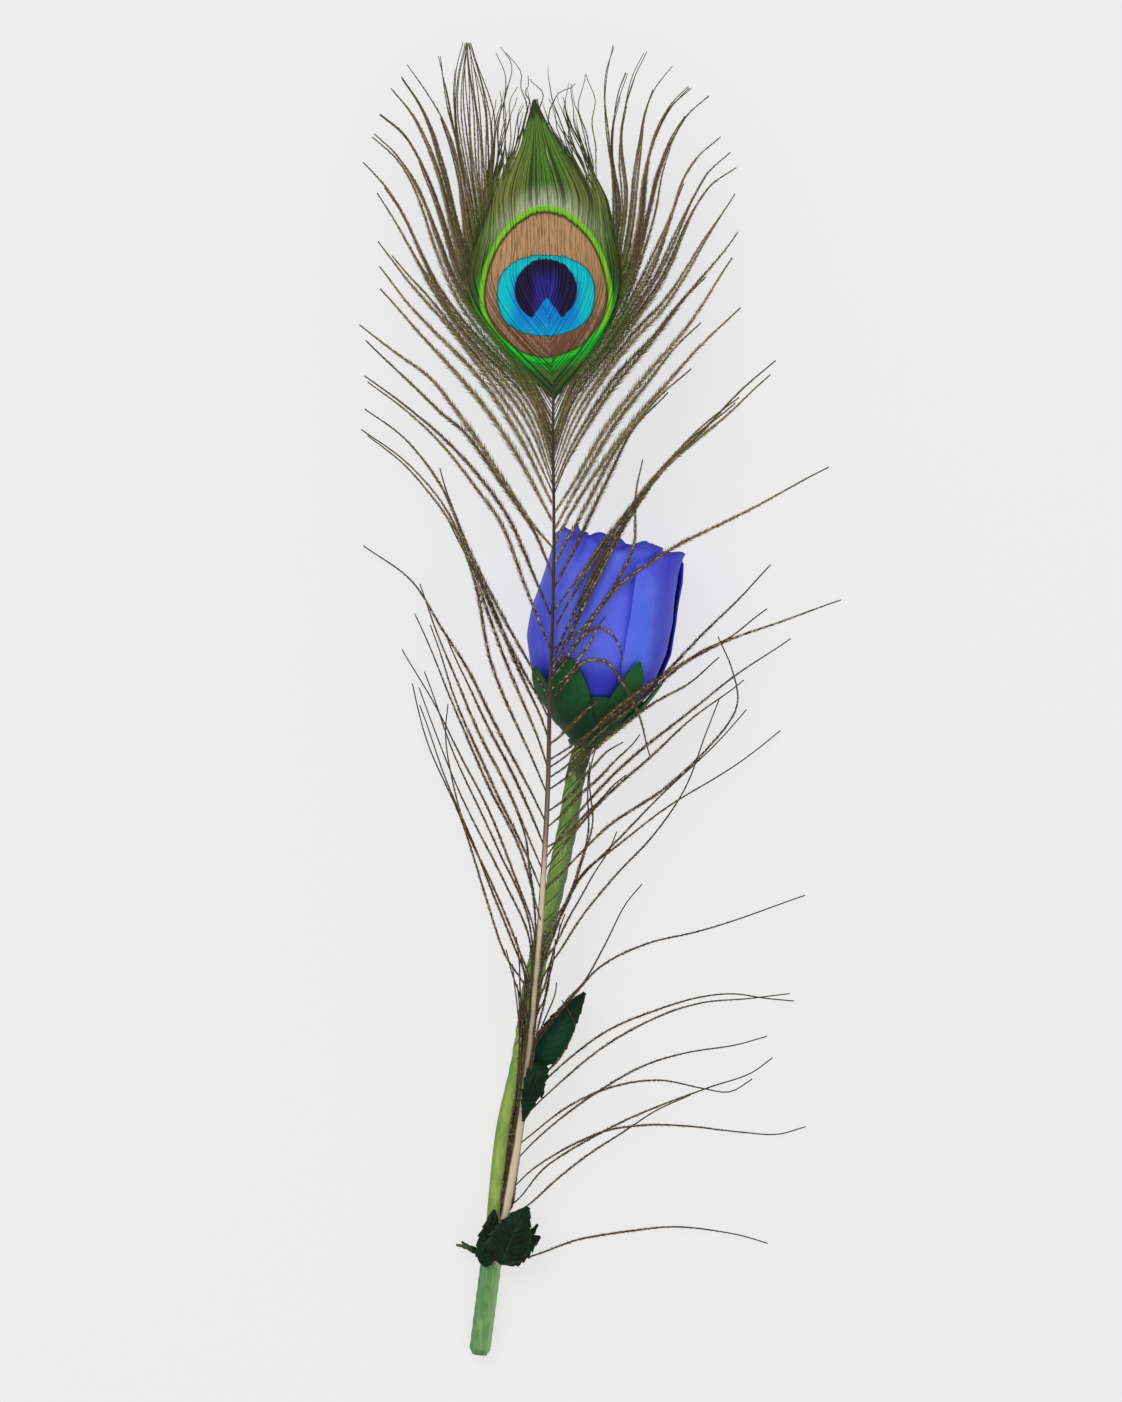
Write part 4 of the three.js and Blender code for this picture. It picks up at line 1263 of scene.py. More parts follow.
def eye_coat(settings):
    """The rings of the eye: pupil, turquoise, bronze, lime edge and green surround."""
    coat = Coat("eye", roughness=0.42, specular=0.12)
    x, height = coat.split(from_eye(coat))
    shade = coat.value("shade") - 0.5
    y = height + shade * 0.45
    wide = abs(x)
    streak = coat.noise(coat.place(scale=(3.2, 0.25, 1.0)), 1.0, detail=3.0)
    mottle = streak - 0.5
    grain = streak + shade
    level = egg_level(x, y, *EYE_EGG)
    inner = egg_level(x, y, *TURQUOISE_EGG)
    low = coat.step(y, -6.0, -13.0)

    # surround: dull flanks with single bright barbs, the cone above and the wedge below
    gleam = coat.step(shade, 0.0, 0.12) * coat.step(y, 6.0, -4.0) * coat.step(level, 1.5, 1.12)
    coat.body = coat.mix(grain, colour(28, 62, 34), colour(66, 96, 50))
    coat.paint(colour(62, 176, 44), gleam)
    cone = coat.mix(grain, colour(36, 74, 22), colour(96, 134, 56))
    olive = coat.mix(grain, colour(70, 66, 30), colour(150, 142, 84))
    aside = coat.step(wide, 3.0, 9.0) * coat.step(y, 12.0, 22.0, 0.0, 0.6)
    coat.paint(coat.mix(aside, cone, olive), coat.step(y, 1.0, 13.0))
    wedge = coat.mix(grain, settings.wedge_colour, colour(16, 120, 40))
    coat.paint(wedge, low * coat.step(level, 1.5, 1.18))

    # a pale band over the lime edge, and dry husks round the outside
    pale = coat.step(y, 8.0, 17.0) * coat.step(level, 1.40, 1.10)
    pale = pale * coat.step(streak, 0.36, 0.56, 0.45, 1.0) * coat.step(wide, 10.0, 3.0, 0.42, 1.0)
    coat.paint(colour(196, 202, 168), pale)
    husk = coat.mix(streak, colour(56, 52, 30), colour(112, 100, 58))
    green_husk = coat.mix(grain, colour(22, 52, 22), colour(78, 94, 44))
    husk = coat.mix(coat.step(y, -15.0, -21.0), husk, green_husk)
    outside = coat.step(level + shade * 0.14, 1.15, 1.30) * coat.step(y, 16.0, 6.0)
    coat.paint(husk, outside * 0.85)

    # thin ends and single barbs show dark in the wisps above
    thin = coat.step(coat.value("width"), 0.74, 0.56) * coat.step(y, 20.0, 34.0) * 0.85
    single = coat.step(shade, -0.16, -0.26) * coat.step(y, 16.0, 24.0, 0.0, 0.7)
    coat.paint(colour(54, 56, 34), thin.at_least(single))

    # lime edge, dark lines between the barbs low down, and a thin dark line inside the edge
    lime = coat.mix(low, settings.lime_colour, settings.wedge_colour)
    coat.paint(lime, coat.step(level, 1.105, 1.06))
    lines = coat.step(shade, -0.08, -0.18) * coat.step(y, 0.0, -9.0)
    coat.paint(colour(18, 60, 24), lines * 0.75)
    coat.paint(colour(74, 70, 40), coat.step(level, 1.035, 1.0))

    # bronze, darker low down and streaked along the barbs
    bronze = coat.mix(coat.step(y, -16.0, 14.0), colour(112, 72, 58), settings.bronze_colour)
    bronze = coat.mix(mottle + shade * 0.55, bronze, colour(204, 166, 124))
    bronze = coat.mix(coat.step(streak, 0.5, 0.34) * 0.55, bronze, colour(92, 62, 40))
    coat.paint(bronze, coat.step(level, 0.995, 0.965))

    # turquoise, bluer near the pupil and below it, with a dark teal rim
    coat.paint(colour(0, 96, 104), coat.step(inner, 1.03, 1.0))
    below = coat.step(coat.step(wide, 5.5, 11.0), 1.0, 0.0) * coat.step(y, 1.0, -4.0)
    bluer = (below * 0.9).at_least(coat.step(inner, 0.80, 0.64) * 0.75)
    cyan = coat.mix(bluer, settings.turquoise_colour, settings.blue_colour)
    cyan = coat.mix(coat.step(y, 6.0, 8.6), cyan, colour(0, 176, 186))
    cyan = coat.mix(coat.step(y, -7.0, -10.5) * 0.75, cyan, colour(0, 160, 205))
    cyan = coat.mix(mottle * 0.5, cyan, colour(120, 240, 240))
    coat.paint(cyan, coat.step(inner, 1.0, 0.975))

    # pupil with a notch at its foot
    out = coat.math("SQRT", x ** 2.0 + y ** 2.0)
    notch = (-1.75 - y) * 0.72 - abs(x - 0.25)
    middle = coat.step(wide, 4.2, 1.6) * coat.step(y, 6.0, 2.0)
    pupil = coat.mix(middle, settings.pupil_colour, colour(44, 38, 128))
    coat.paint(pupil, coat.step(out, 7.95, 7.65) * coat.step(notch, 0.2, -0.1))
    coat.link(coat.step(out, 6.0, 22.0, 0.36, 0.6), "Roughness")
    return coat.finished()


def barb_coat(settings):
    """Loose barbs: flecks of dark, olive and pale, greener close to the eye."""
    coat = Coat("feather", roughness=0.6, specular=0.12)
    at = from_eye(coat)
    x, y = coat.split(at)
    flecks = coat.noise(at, 1.5, roughness=0.75)
    # the pale flecks are partly the barbs' own pale tone and partly painted glints
    coat.body = coat.ramp(
        flecks, (0.36, settings.dark_barb_colour), (0.52, settings.barb_colour),
        (0.68, colour(128, 114, 92)), (0.75, settings.pale_barb_colour))
    rib = coat.ramp(coat.noise(at, 0.9, detail=3.0, roughness=0.8),
                    (0.50, colour(58, 42, 32)), (0.62, settings.pale_barb_colour))
    coat.paint(rib, coat.value("rib") * 0.85)
    # painted sheen: broad golden patches over the barbs
    painted_gold_sheen = coat.step(coat.noise(at, 0.035, detail=1.0), 0.54, 0.66)
    coat.paint(colour(150, 138, 60), painted_gold_sheen * 0.24)
    sunny = coat.mix(flecks, colour(80, 70, 42), colour(176, 158, 108))
    coat.paint(sunny, coat.step(y, -90.0, -30.0) * 0.6)
    coat.paint(settings.dark_barb_colour, coat.step(coat.value("shade"), 0.3, 0.9) * 0.55)
    low = coat.step(y, -60.0, -150.0)
    coat.paint(colour(76, 58, 44), low * 0.55)
    tips = coat.step(coat.value("width"), 0.5, 0.2)
    coat.paint(colour(58, 56, 40), tips * 0.65)
    green = coat.mix(flecks, colour(38, 60, 30), colour(98, 128, 58))
    coat.paint(green, coat.step(egg_level(x, y, *BARB_EGG), 1.6, 1.1) * 0.8)
    return coat.finished()


def shaft_coat(settings):
    """The shaft: dark and thin in the eye, brown below it and cream at the quill."""
    coat = Coat("shaft", roughness=0.45, specular=0.2)
    along = coat.value("along")
    fibre = coat.noise(coat.place(scale=(2.6, 0.12, 2.6)), 1.0, detail=3.0)
    side = coat.value("side") + fibre * 0.5
    coat.body = coat.ramp(
        along / SHAFT_LENGTH, (0.0, colour(58, 84, 34)), (0.2, colour(48, 56, 32)),
        (0.27, colour(54, 44, 36)), (0.46, colour(60, 48, 42)), (0.53, colour(84, 64, 58)),
        (0.61, colour(108, 84, 72)), (0.65, settings.quill_colour))
    coat.paint(colour(122, 92, 66), coat.step(fibre, 0.56, 0.72, 0.0, 0.35))
    # painted highlight: a pale line along the top of the shaft above the quill
    ridge = coat.step(coat.value("top"), 0.86, 1.0) * coat.step(along, 150.0, 200.0, 0.0, 0.4)
    coat.paint(colour(222, 204, 176), ridge)
    # painted shade on both flanks of the shaft, stronger lower down
    rim = coat.step(side, -0.35, -0.85).at_least(coat.step(side, 0.8, 1.1))
    coat.paint(colour(70, 52, 36), rim * coat.step(along, 90.0, 190.0, 0.2, 0.9))
    coat.bump(fibre, 0.4, 0.0002)
    return coat.finished()


def petal_coat(settings):
    """Satin petals with fine streaks along them and a darker rim, with a painted lit middle and highlight
    and painted shade at the sides and low down.
    """
    coat = Coat("rose_petal", roughness=0.5, specular=0.12)
    at = from_bud(coat)
    x, y = coat.split(at)
    streaks = coat.noise(coat.stretched(at, 1.5, 0.09), 1.0, detail=4.0)
    clouds = coat.noise(at, 0.06)
    coat.body = settings.petal_colour
    coat.paint(settings.light_colour, coat.step(clouds, 0.40, 0.62))
    coat.paint(colour(126, 136, 250), coat.step(streaks, 0.48, 0.66) * 0.12)
    coat.paint(settings.deep_colour, coat.step(streaks, 0.5, 0.34) * 0.10)
    # painted light: the middle of the bud, where the light falls, is lighter
    lit = coat.step(x, -6.0, 0.0) * coat.step(x, 12.0, 8.0, 0.0, 0.6)
    coat.paint(settings.light_colour, lit)
    # painted highlight: a light blue streak right of the middle
    gleam = coat.step(x, 6.0, 9.4) * coat.step(x, 14.0, 11.4, 0.0, 0.75)
    gleam_height = coat.step(y, 13.0, 20.0, 0.0, 0.7) * coat.step(y, 44.0, 34.0)
    coat.paint(colour(70, 118, 240), gleam * gleam_height)
    # painted shade down both sides of the bud
    side = coat.step(x, 11.5, 15.0, 0.0, 0.6).at_least(coat.step(x, -8.0, -15.0, 0.0, 0.5))
    coat.paint(settings.deep_colour, side)
    rim = coat.step(coat.value("upward"), 0.965, 1.0)
    coat.paint(settings.deep_colour, rim * 0.7)
    # painted shade: darker towards the foot, where the petals sink between the sepals
    foot = coat.step(y, 22.0, 15.0)
    coat.paint(colour(38, 44, 180), foot * 0.85)
    coat.bump(streaks, 0.15, 0.0004)
    return coat.finished()


def calyx_coat(settings):
    """Dark green sepals with a greyer foot to the cup."""
    coat = Coat("calyx", roughness=0.5, specular=0.1)
    at = from_bud(coat)
    y = coat.split(at)[1]
    veins = coat.noise(coat.stretched(at, 1.2, 0.16), 1.0, detail=4.0)
    coat.body = colour(20, 48, 26)
    coat.paint(settings.sepal_colour, coat.step(veins, 0.30, 0.70, 0.3, 0.8))
    coat.paint(colour(36, 112, 48), coat.step(y, 9.0, 17.0) * 0.45)
    coat.paint(colour(24, 44, 26), coat.step(y, 11.0, 2.0) * 0.6)
    coat.paint(colour(74, 92, 64), coat.step(y, 1.0, -1.0) * 0.5)
    coat.bump(veins, 0.15, 0.0004)
    return coat.finished()


def wrap_share(coat):
    """0 to 1 across each turn of the tapes wound round the stem."""
    turn = coat.math("ARCTAN2", coat.value("top"), coat.value("side")) / math.tau
    return coat.math("FRACT", (coat.value("along") / WRAP_PITCH + turn) * WRAP_STARTS + 100.0)


def stem_coat(settings):
    """Wound green tape, yellower towards the foot and dark under the bud."""
    coat = Coat("stem_tape", roughness=0.5, specular=0.12)
    along, side, wrap = coat.value("along"), coat.value("side"), wrap_share(coat)
    streaks = coat.noise(coat.place(scale=(2.2, 0.2, 2.2)), 1.0, detail=4.0)
    clouds = coat.noise(coat.place(), 0.16)
    coat.body = settings.stem_colour
    coat.paint(settings.stem_foot_colour, coat.step(along, 40.0, 100.0))
    coat.paint(colour(92, 134, 62), coat.step(clouds, 0.42, 0.62) * 0.45)
    coat.paint(colour(186, 204, 128), coat.step(streaks, 0.5, 0.66) * 0.4)
    # painted shade: greyer on one flank near the bud
    left = coat.step(side, -0.1, -0.8) * coat.step(along, 75.0, 35.0, 0.0, 0.75)
    coat.paint(colour(104, 122, 92), left)
    # painted shade: darker on the other flank
    coat.paint(colour(78, 110, 44), coat.step(side, 0.35, 0.95) * 0.5)
    coat.paint(colour(52, 50, 34), coat.step(along + streaks * 6.0, 14.0, 9.0, 0.0, 0.8))
    # painted shade along the edge of each turn of the tape, with a painted highlight just past it
    wound = coat.step(along, 92.0, 74.0)
    coat.paint(colour(50, 74, 30), coat.step(wrap, 0.82, 0.96) * (wound * 0.8))
    coat.paint(colour(176, 200, 130), coat.step(wrap, 0.14, 0.0) * (wound * 0.6))
    coat.bump(streaks, 0.4, 0.0003)
    return coat.finished()


def binding_coat(settings):
    """Bluish green tape round the foot, with painted light and painted shade on its flats and a frayed
    top.
    """
    coat = Coat("binding_tape", roughness=0.5, specular=0.12)
    along, side = coat.value("along"), coat.value("side")
    streaks = coat.noise(coat.place(turn=-0.13, scale=(1.6, 0.12, 1.6)), 1.0, detail=4.0)
    clouds = coat.noise(coat.place(), 0.35, detail=3.0)
    coat.body = settings.binding_colour
    coat.paint(colour(108, 154, 90), coat.step(clouds, 0.36, 0.66))
    # painted light on the flats of one side, painted shade on those of the other
    coat.paint(colour(142, 178, 118), coat.step(side, -0.35, -0.75, 0.0, 0.75))
    coat.paint(colour(74, 124, 72), coat.step(side, 0.45, 0.8, 0.0, 0.7))
    coat.paint(colour(170, 196, 140), coat.step(streaks, 0.5, 0.68) * 0.35)
    coat.paint(colour(196, 204, 172), coat.step(along + streaks * 5.0, 4.2, 3.0, 0.0, 0.75))
    coat.paint(colour(48, 96, 60), coat.step(along, 22.4, 24.2, 0.0, 0.6))
    coat.bump(clouds, 0.5, 0.0005)
    return coat.finished()


def leaf_coat(settings):
    """Blackish green leaves with a midrib and side veins, and a paler bract."""
    coat = Coat("leaf", roughness=0.45, specular=0.12)
    x, y = coat.split(coat.place())
    across = abs(coat.value("across") - 0.5)
    run = coat.value("upward") * LEAF_VEINS - across * (LEAF_VEINS / 2)
    vein = abs(coat.math("FRACT", run + 10.0) - 0.5)
    clouds = coat.noise(coat.place(), 0.32, detail=3.0)
    coat.body = settings.leaf_colour
    coat.paint(colour(12, 40, 24), coat.step(clouds, 0.35, 0.65))
    upper_leaf = coat.step(y, -94.0, -88.0) * coat.step(y, -76.0, -84.0, 0.0, 0.75)
    coat.paint(colour(16, 66, 46), upper_leaf)
    bract = coat.step(x, -31.6, -33.2, 0.0, 0.6)
    coat.paint(colour(92, 104, 82), bract)
    coat.paint(colour(52, 88, 56), coat.step(vein, 0.12, 0.0, 0.0, 0.16))
    coat.paint(colour(58, 90, 54), coat.step(across, 0.03, 0.0, 0.0, 0.3))
    # painted highlight: lighter along the edges of each leaf
    coat.paint(colour(54, 70, 44), coat.step(across, 0.44, 0.5, 0.0, 0.5))
    coat.bump(vein, 0.6, 0.0003)
    return coat.finished()


# ---------------------------------------------------------------- settings

def shade_property(name, description, default):
    return bpy.props.FloatVectorProperty(
        name=name, description=description, subtype="COLOR", size=4, min=0.0, max=1.0,
        default=default)


def length_property(name, description, default, low=0.0):
    return bpy.props.FloatProperty(
        name=name, description=description, default=default, min=low, max=0.01, precision=5,
        subtype="DISTANCE", unit="LENGTH")


class FeatherSettings(bpy.types.PropertyGroup):
    """Sizes and colours of the peacock feather"""

    eye_barbs: bpy.props.IntProperty(
        name="Eye Barbs", description="Barbs on each side of the eye", default=56, min=10, max=120)
    ribbon_width: length_property("Eye Barb Width", "Width of a barb in the eye", 0.00062)
    ridge_height: length_property("Eye Barb Height", "Height of the ridge of a barb", 0.00014)
    barbule_spacing: length_property(
        "Barbule Spacing", "Distance between barbules along a loose barb", 0.00022, 0.0001)
    barbule_length: length_property(
        "Barbule Length", "Length of the barbules of a loose barb", 0.0021)
    barbule_thickness: length_property(
        "Barbule Thickness", "Half thickness of a barbule at its foot", 0.00011)
    barb_radius: length_property("Barb Radius", "Half thickness of a loose barb", 0.00021)
    low_barb_radius: length_property(
        "Low Barb Radius", "Half thickness of the sparse barbs below the eye's fans", 0.00034)
    pupil_colour: shade_property("Pupil", "Rim of the eye's pupil", colour(28, 20, 58))
    turquoise_colour: shade_property("Turquoise", "Ring round the pupil", colour(0, 196, 206))
    blue_colour: shade_property("Blue", "Middle of the turquoise ring", colour(0, 120, 214))
    bronze_colour: shade_property("Bronze", "Wide ring of the eye", colour(190, 148, 104))
    lime_colour: shade_property("Lime", "Narrow edge of the eye", colour(128, 204, 44))
    wedge_colour: shade_property("Wedge", "Foot of the eye", colour(40, 196, 48))
    quill_colour: shade_property("Quill", "Lower end of the shaft", colour(208, 188, 158))
    barb_colour: shade_property("Barbs", "Main colour of the loose barbs", colour(100, 80, 54))
    dark_barb_colour: shade_property("Dark Barbs", "Dark flecks of the barbs", colour(50, 39, 31))
    pale_barb_colour: shade_property("Pale Barbs", "Pale flecks of the barbs",
                                     colour(222, 208, 174))


class RoseSettings(bpy.types.PropertyGroup):
    """Sizes and colours of the rosebud"""

    petal_thickness: length_property("Petal Thickness", "Thickness of a petal", 0.00045)
    sepal_thickness: length_property("Sepal Thickness", "Thickness of a sepal", 0.0006)
    petal_colour: shade_property("Petals", "Main colour of the petals", colour(78, 84, 224))
    light_colour: shade_property("Light Petals", "Lit parts of the petals", colour(100, 112, 242))
    deep_colour: shade_property("Deep Petals", "Folds and rims of the petals",
                                colour(46, 46, 176))
    sepal_colour: shade_property("Sepals", "Colour of the calyx", colour(34, 84, 44))


class StemSettings(bpy.types.PropertyGroup):
    """Sizes and colours of the stem, binding and leaves"""

    wrap_height: length_property("Wrap Height", "Height of the edge of the wound tape", 0.00022)
    leaf_thickness: length_property("Leaf Thickness", "Thickness of a leaf", 0.00045)
    stem_colour: shade_property("Stem", "Upper part of the stem", colour(122, 158, 76))
    stem_foot_colour: shade_property("Stem Foot", "Lower part of the stem", colour(152, 176, 84))
    binding_colour: shade_property("Binding", "Tape round the foot", colour(92, 140, 80))
    leaf_colour: shade_property("Leaves", "Colour of the leaves", colour(10, 24, 14))


class StageSettings(bpy.types.PropertyGroup):
    """Floor, light and camera"""

    floor_colour: shade_property("Floor", "Colour of the surface", (0.20, 0.198, 0.199, 1.0))
    floor_glow: bpy.props.FloatProperty(
        name="Floor Glow", description="Light of the surface itself, which softens shadows",
        default=0.67, min=0.0, max=2.0)
    sky_strength: bpy.props.FloatProperty(
        name="Sky", description="Strength of the light from all round", default=0.74,
        min=0.0, max=5.0)
    lamp_power: bpy.props.FloatProperty(
        name="Lamp", description="Power of the soft lamp", default=4.6, min=0.0, max=500.0,
        subtype="POWER", unit="POWER")
    lens: bpy.props.FloatProperty(
        name="Focal Length", description="Focal length of the camera", default=240.0,
        min=20.0, max=400.0, subtype="DISTANCE_CAMERA", unit="CAMERA")


# ---------------------------------------------------------------- operators

# The shaft has this many steps and sinks by this depth under the eye's barbs, between these
# heights of the drawing.
SHAFT_STEPS = 260
SHAFT_SINK = 0.9
SHAFT_SINKS_OVER = (78.0, 84.0)

# The stem's tape: how far it lies below the stem's given radius, the share of each turn over
# which it rises to its edge, and between which distances from the bud its turns begin to show.
STEM_STEPS = 420
TAPE_SINK = 0.1
TAPE_RISES_TO = 0.9
WOUND_BETWEEN = (98.0, 76.0)

# The binding is a bar with six sides: half its greatest width, half the width of its flat top and
# its height. Then how far it is worn off and how that varies, and the share by which it narrows at
# its foot and its mouth over these lengths.
BINDING_STEPS = 90
BINDING_HALF_WIDTH = 2.7
BINDING_HALF_FLAT = 1.5
BINDING_HEIGHT = 6.2
BINDING_WORN = 0.06
BINDING_WAVE = 0.05
FOOT_NARROWS = 0.30
FOOT_LENGTH = 1.7
MOUTH_NARROWS = 0.12
MOUTH_LENGTH = 1.4

# The stage in metres. The length of the view, the height at which it is measured and the width of
# the sensor are in millimetres.
FLOOR_REACH = 6.0
FLOOR_GLOW_COLOUR = (1.0, 0.99, 0.995, 1.0)
LAMP_PLACE = (-0.5, 0.55, 1.1)
LAMP_SIZE = 0.9
VIEW_LENGTH = 350.5
VIEW_HEIGHT = 20.0
SENSOR_WIDTH = 36.0
CAMERA_REACH = 20.0


def dressed(obj, nodes, material=None, smooth=True):
    """Finishes a piece: hides the parts it stands for, gives it its finish and attaches it to the body it
    rides on.
    """
    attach(obj, BODY)
    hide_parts(*nodes)
    if material:
        obj.data.materials.append(material)
    if smooth:
        obj.data.polygons.foreach_set("use_smooth", [True] * len(obj.data.polygons))
    return obj


class BuildOperator:
    """Shared part of the operators, which build into the current scene"""

    bl_options = {"REGISTER", "UNDO"}

    def execute(self, context):
        made = self.build(context)
        if not made:
            self.report({"ERROR"}, f"{self.bl_label}: nothing was built")
            return {"CANCELLED"}
        return {"FINISHED"}


class FEATHER_OT_eye(BuildOperator, bpy.types.Operator):
    """Builds the close barbs of the eye"""

    bl_idname = "feather.eye"
    bl_label = "Build Eye"

    def build(self, context):
        settings = context.scene.feather
        eye = grown_mesh(
            "eye_barbs", eye_barbs(settings.eye_barbs), ribbon_tree(), eye_coat(settings),
            Ribbon_Width=settings.ribbon_width, Ridge_Height=settings.ridge_height)
        return [dressed(eye, ["feather"], smooth=False)]


class FEATHER_OT_barbs(BuildOperator, bpy.types.Operator):
    """Builds the loose barbs with their barbules"""

    bl_idname = "feather.barbs"
    bl_label = "Build Loose Barbs"

    def build(self, context):
        settings = context.scene.feather
        tree = barb_tree()
        material = barb_coat(settings)
        upper_left = fan_barbs(UPPER_LEFT_FAN, FAN_FILL["left"], first_seed=10)
        upper_left += wisp_barbs(LEFT_WISPS, first_seed=700)
        upper_right = fan_barbs(UPPER_RIGHT_FAN, FAN_FILL["right"], first_seed=200)
        upper_right += wisp_barbs(RIGHT_WISPS, first_seed=720)
        left = single_barbs(LEFT_BARBS, first_seed=400)
        right = single_barbs(RIGHT_BARBS, first_seed=500)
        groups = (
            ("upper_left_barbs", upper_left, settings.barb_radius),
            ("upper_right_barbs", upper_right, settings.barb_radius),
            ("left_barbs", left, settings.low_barb_radius),
            ("right_barbs", right, settings.low_barb_radius),
        )
        made = []
        for seed, (name, barbs, radius) in enumerate(groups):
            piece = grown_mesh(
                name, barbs, tree, material, Seed=seed, Shaft_Radius=radius,
                Barbule_Spacing=settings.barbule_spacing, Barbule_Length=settings.barbule_length,
                Barbule_Thickness=settings.barbule_thickness)
            made.append(dressed(piece, ["feather"], smooth=False))
        return made


def radius_along(line, path):
    """The radius that a line's points give at each distance along its path."""
    radii = [(-p[1], p[3]) for p in line]
    table = path_table(path)
    return lambda distance: table_at(radii, table_at(table, distance))


class FEATHER_OT_shaft(BuildOperator, bpy.types.Operator):
    """Builds the shaft and quill"""

    bl_idname = "feather.shaft"
    bl_label = "Build Shaft"

    def build(self, context):
        path = spline([p[:3] for p in SHAFT_LINE], SHAFT_STEPS)
        for point in path:
            point.z -= SHAFT_SINK * smoothstep(*SHAFT_SINKS_OVER, point.y)
        radius = radius_along(SHAFT_LINE, path)
        shaft = swept("shaft", path, lambda angle, distance: radius(distance))
        return [dressed(shaft, ["feather"], shaft_coat(context.scene.feather))]


class ROSE_OT_petals(BuildOperator, bpy.types.Operator):
    """Builds the petals of the bud"""

    bl_idname = "rose.petals"
    bl_label = "Build Petals"

    def build(self, context):
        settings = context.scene.rose
        material = petal_coat(settings)
        made = []
        for layer, sizes in PETAL_LAYERS.items():
            points = [partial(petal_point, layer, number) for number in range(sizes[0])]
            piece = sheet(layer + "s", points, PETAL_GRID, settings.petal_thickness)
            nodes = [f"{layer}_{number + 1}" for number in range(sizes[0])]
            made.append(dressed(piece, nodes, material))
        heart = sheet("heart", [heart_point], HEART_GRID, settings.petal_thickness)
        return [*made, dressed(heart, ["heart_petal"], material)]


class ROSE_OT_calyx(BuildOperator, bpy.types.Operator):
    """Builds the cup and sepals round the foot of the bud"""

    bl_idname = "rose.calyx"
    bl_label = "Build Calyx"

    def build(self, context):
        settings = context.scene.rose
        material = calyx_coat(settings)
        points = [partial(sepal_point, sepal) for sepal in SEPALS]
        sepals = sheet("sepals", points, SEPAL_GRID, settings.sepal_thickness)
        cup = sheet("calyx_cup", [cup_point], CUP_GRID, settings.sepal_thickness)
        return [dressed(piece, ["calyx"], material) for piece in (sepals, cup)]


class BUNCH_OT_stem(BuildOperator, bpy.types.Operator):
    """Builds the taped stem and the binding round its foot"""

    bl_idname = "bunch.stem"
    bl_label = "Build Stem"

    def build(self, context):
        return [self.stem(context.scene.stem), self.binding(context.scene.stem)]

    def stem(self, settings):
        path = spline([p[:3] for p in STEM_LINE], STEM_STEPS)
        radius = radius_along(STEM_LINE, path)
        wrap = settings.wrap_height / MM

        def section(angle, distance):
            share = WRAP_STARTS * (distance / WRAP_PITCH + angle / math.tau) % 1.0
            edge = smoothstep(0.0 if share < TAPE_RISES_TO else 1.0, TAPE_RISES_TO, share)
            wound = smoothstep(*WOUND_BETWEEN, distance)
            return radius(distance) - TAPE_SINK + wrap * edge * wound

        stem = swept("stem_tape", path, section)
        return dressed(stem, ["stem"], stem_coat(settings))

    def binding(self, settings):
        top = Vector((*BINDING_TOP, BINDING_HEIGHT / 2))
        foot = Vector((*BINDING_FOOT, BINDING_HEIGHT / 2))
        length = (foot - top).length
        outline = [
            (BINDING_HALF_FLAT, BINDING_HEIGHT / 2), (BINDING_HALF_WIDTH, 0.0),
            (BINDING_HALF_FLAT, -BINDING_HEIGHT / 2),
        ]

        def section(angle, distance):
            x, y = abs(math.cos(angle)), math.sin(angle)
            reach = BINDING_HEIGHT / 2 / max(abs(y), 1e-6)
            (x0, y0), (x1, y1) = outline[0 if y > 0 else 2], outline[1]
            turn = x * (y1 - y0) - y * (x1 - x0)
            reach = min(reach, (x0 * (y1 - y0) - y0 * (x1 - x0)) / turn)
            worn = BINDING_WORN + BINDING_WAVE * math.sin(distance * 1.9 + 3 * angle)
            end = 1.0 - FOOT_NARROWS * smoothstep(length - FOOT_LENGTH, length, distance)
            mouth = 1.0 - MOUTH_NARROWS * smoothstep(MOUTH_LENGTH, 0.0, distance)
            return (reach - worn) * min(end, mouth)

        path = [top.lerp(foot, k / BINDING_STEPS) for k in range(BINDING_STEPS + 1)]
        binding = swept("binding_tape", path, section)
        return dressed(binding, ["binding"], binding_coat(settings), smooth=False)


class BUNCH_OT_leaves(BuildOperator, bpy.types.Operator):
    """Builds the leaves and the bract on the stem"""

    bl_idname = "bunch.leaves"
    bl_label = "Build Leaves"

    def build(self, context):
        settings = context.scene.stem
        material = leaf_coat(settings)
        made = []
        for node, leaves in LEAVES.items():
            points = [leaf_points(*leaf) for leaf in leaves]
            piece = sheet(node + "_sheet", points, LEAF_GRID, settings.leaf_thickness)
            made.append(dressed(piece, [node], material))
        return made


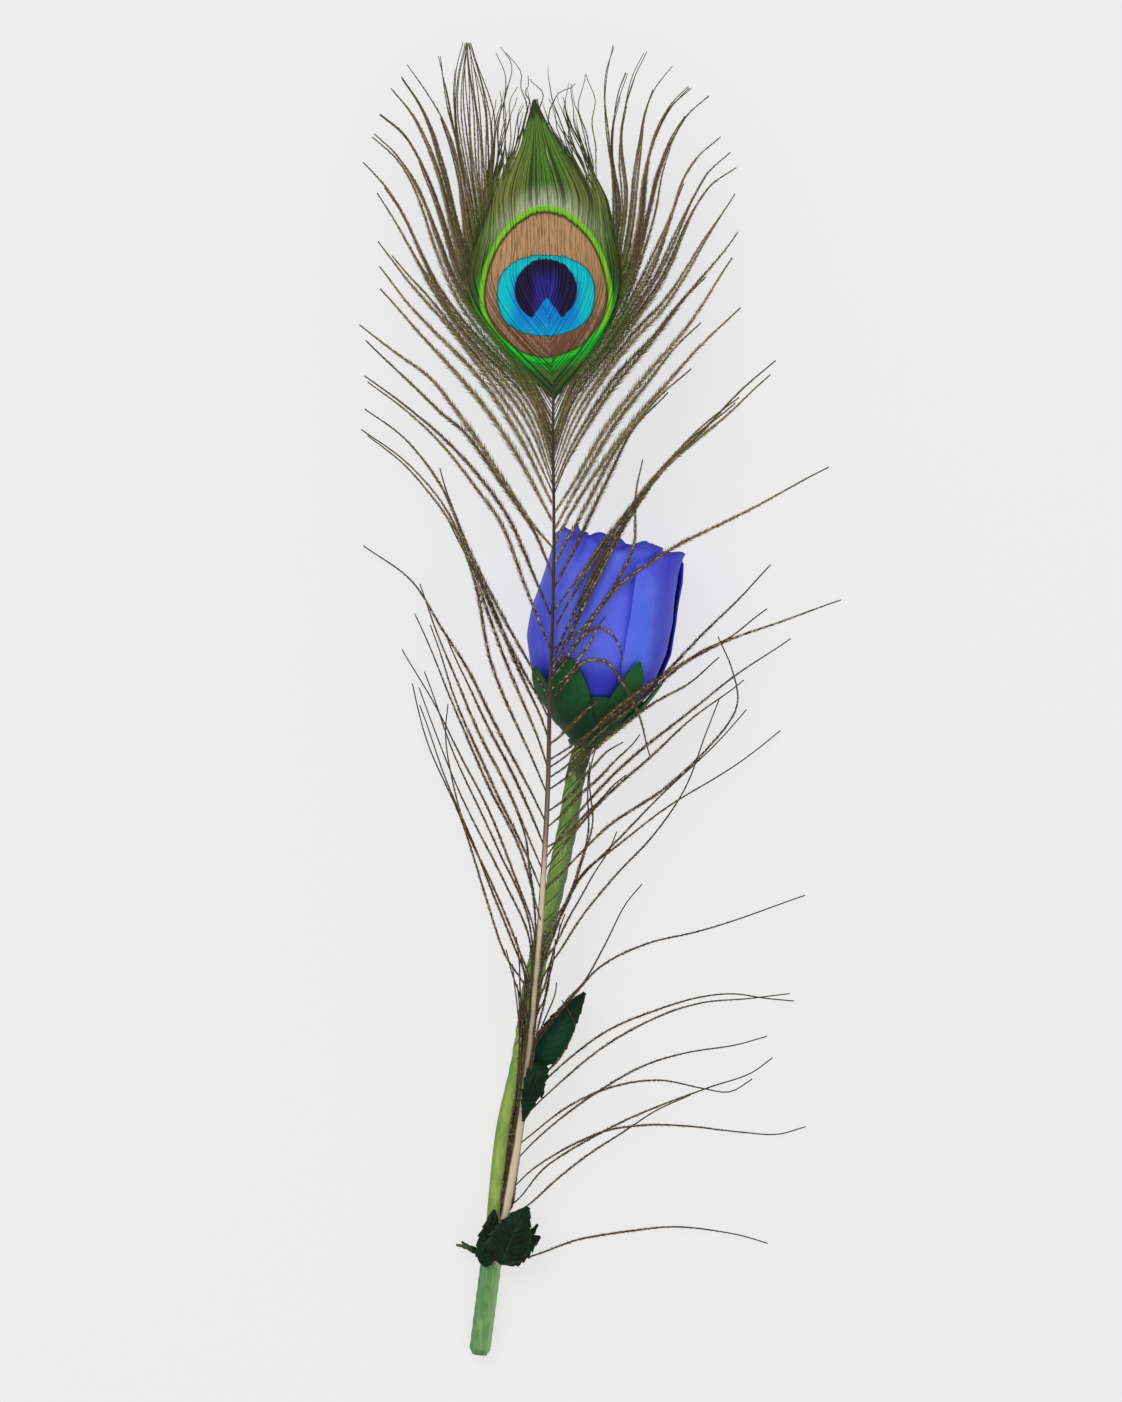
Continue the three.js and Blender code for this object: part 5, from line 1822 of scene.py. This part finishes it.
class BUNCH_OT_stage(BuildOperator, bpy.types.Operator):
    """Lays the floor and sets up the lamp and camera"""

    bl_idname = "bunch.stage"
    bl_label = "Build Stage"

    def build(self, context):
        settings = context.scene.stage
        context.scene.view_settings.view_transform = "Standard"
        return [self.floor(settings), self.sky(context.scene, settings), self.lamp(settings),
                self.camera(context.scene, settings)]

    def floor(self, settings):
        mesh = bpy.data.meshes.new("floor")
        corners = [(-1, -1), (1, -1), (1, 1), (-1, 1)]
        mesh.from_pydata([(x * FLOOR_REACH, y * FLOOR_REACH, 0.0) for x, y in corners], [],
                         [(0, 1, 2, 3)])
        coat = Coat("floor", roughness=0.9, specular=0.0, body=settings.floor_colour)
        coat.link(FLOOR_GLOW_COLOUR, "Emission Color")
        coat.link(settings.floor_glow, "Emission Strength")
        mesh.materials.append(coat.finished())
        floor = new_object("floor", mesh)
        return floor

    def sky(self, scene, settings):
        scene.world = bpy.data.worlds.new("studio")
        scene.world.use_nodes = True
        background = scene.world.node_tree.nodes["Background"]
        background.inputs["Color"].default_value = (1.0, 1.0, 1.0, 1.0)
        background.inputs["Strength"].default_value = settings.sky_strength
        return scene.world

    def lamp(self, settings):
        lamp = bpy.data.lights.new("lamp", "AREA")
        lamp.shape = "DISK"
        lamp.size = LAMP_SIZE
        lamp.energy = settings.lamp_power
        holder = new_object("lamp", lamp)
        holder.location = LAMP_PLACE
        holder.rotation_euler = (-holder.location).to_track_quat("-Z", "Y").to_euler()
        return holder

    def camera(self, scene, settings):
        camera = bpy.data.cameras.new("camera")
        camera.lens = settings.lens
        camera.sensor_width = SENSOR_WIDTH
        camera.sensor_fit = "AUTO"
        camera.clip_end = CAMERA_REACH
        holder = new_object("camera", camera)
        away = VIEW_LENGTH * MM * settings.lens / SENSOR_WIDTH
        holder.location = placed(0.0, 0.0, VIEW_HEIGHT) + Vector((0.0, 0.0, away))
        scene.camera = holder
        return holder


# ---------------------------------------------------------------- panel and run

STEPS = (
    FEATHER_OT_eye, FEATHER_OT_barbs, FEATHER_OT_shaft, ROSE_OT_petals, ROSE_OT_calyx,
    BUNCH_OT_stem, BUNCH_OT_leaves, BUNCH_OT_stage,
)


class BUNCH_PT_panel(bpy.types.Panel):
    """Settings and build buttons"""

    bl_label = "Feather Bunch"
    bl_idname = "BUNCH_PT_panel"
    bl_space_type = "VIEW_3D"
    bl_region_type = "UI"
    bl_category = "Feather"

    def draw(self, context):
        for group in (getattr(context.scene, name) for name in GROUPS):
            box = self.layout.box()
            for name in group.bl_rna.properties.keys():
                if name not in {"rna_type", "name"}:
                    box.prop(group, name)
        for step in STEPS:
            self.layout.operator(step.bl_idname)


GROUPS = {"feather": FeatherSettings, "rose": RoseSettings, "stem": StemSettings,
          "stage": StageSettings}
CLASSES = (*GROUPS.values(), *STEPS, BUNCH_PT_panel)


def register():
    for item in CLASSES:
        bpy.utils.register_class(item)
    for name, group in GROUPS.items():
        setattr(bpy.types.Scene, name, bpy.props.PointerProperty(type=group))


def unregister():
    for name in GROUPS:
        delattr(bpy.types.Scene, name)
    for item in reversed(CLASSES):
        bpy.utils.unregister_class(item)


def main():
    register()
    for step in STEPS:
        family, name = step.bl_idname.split(".")
        result = getattr(getattr(bpy.ops, family), name)()
        if "FINISHED" not in result:
            raise RuntimeError(f"{step.bl_label} did not finish")


if __name__ == "__main__":
    main()
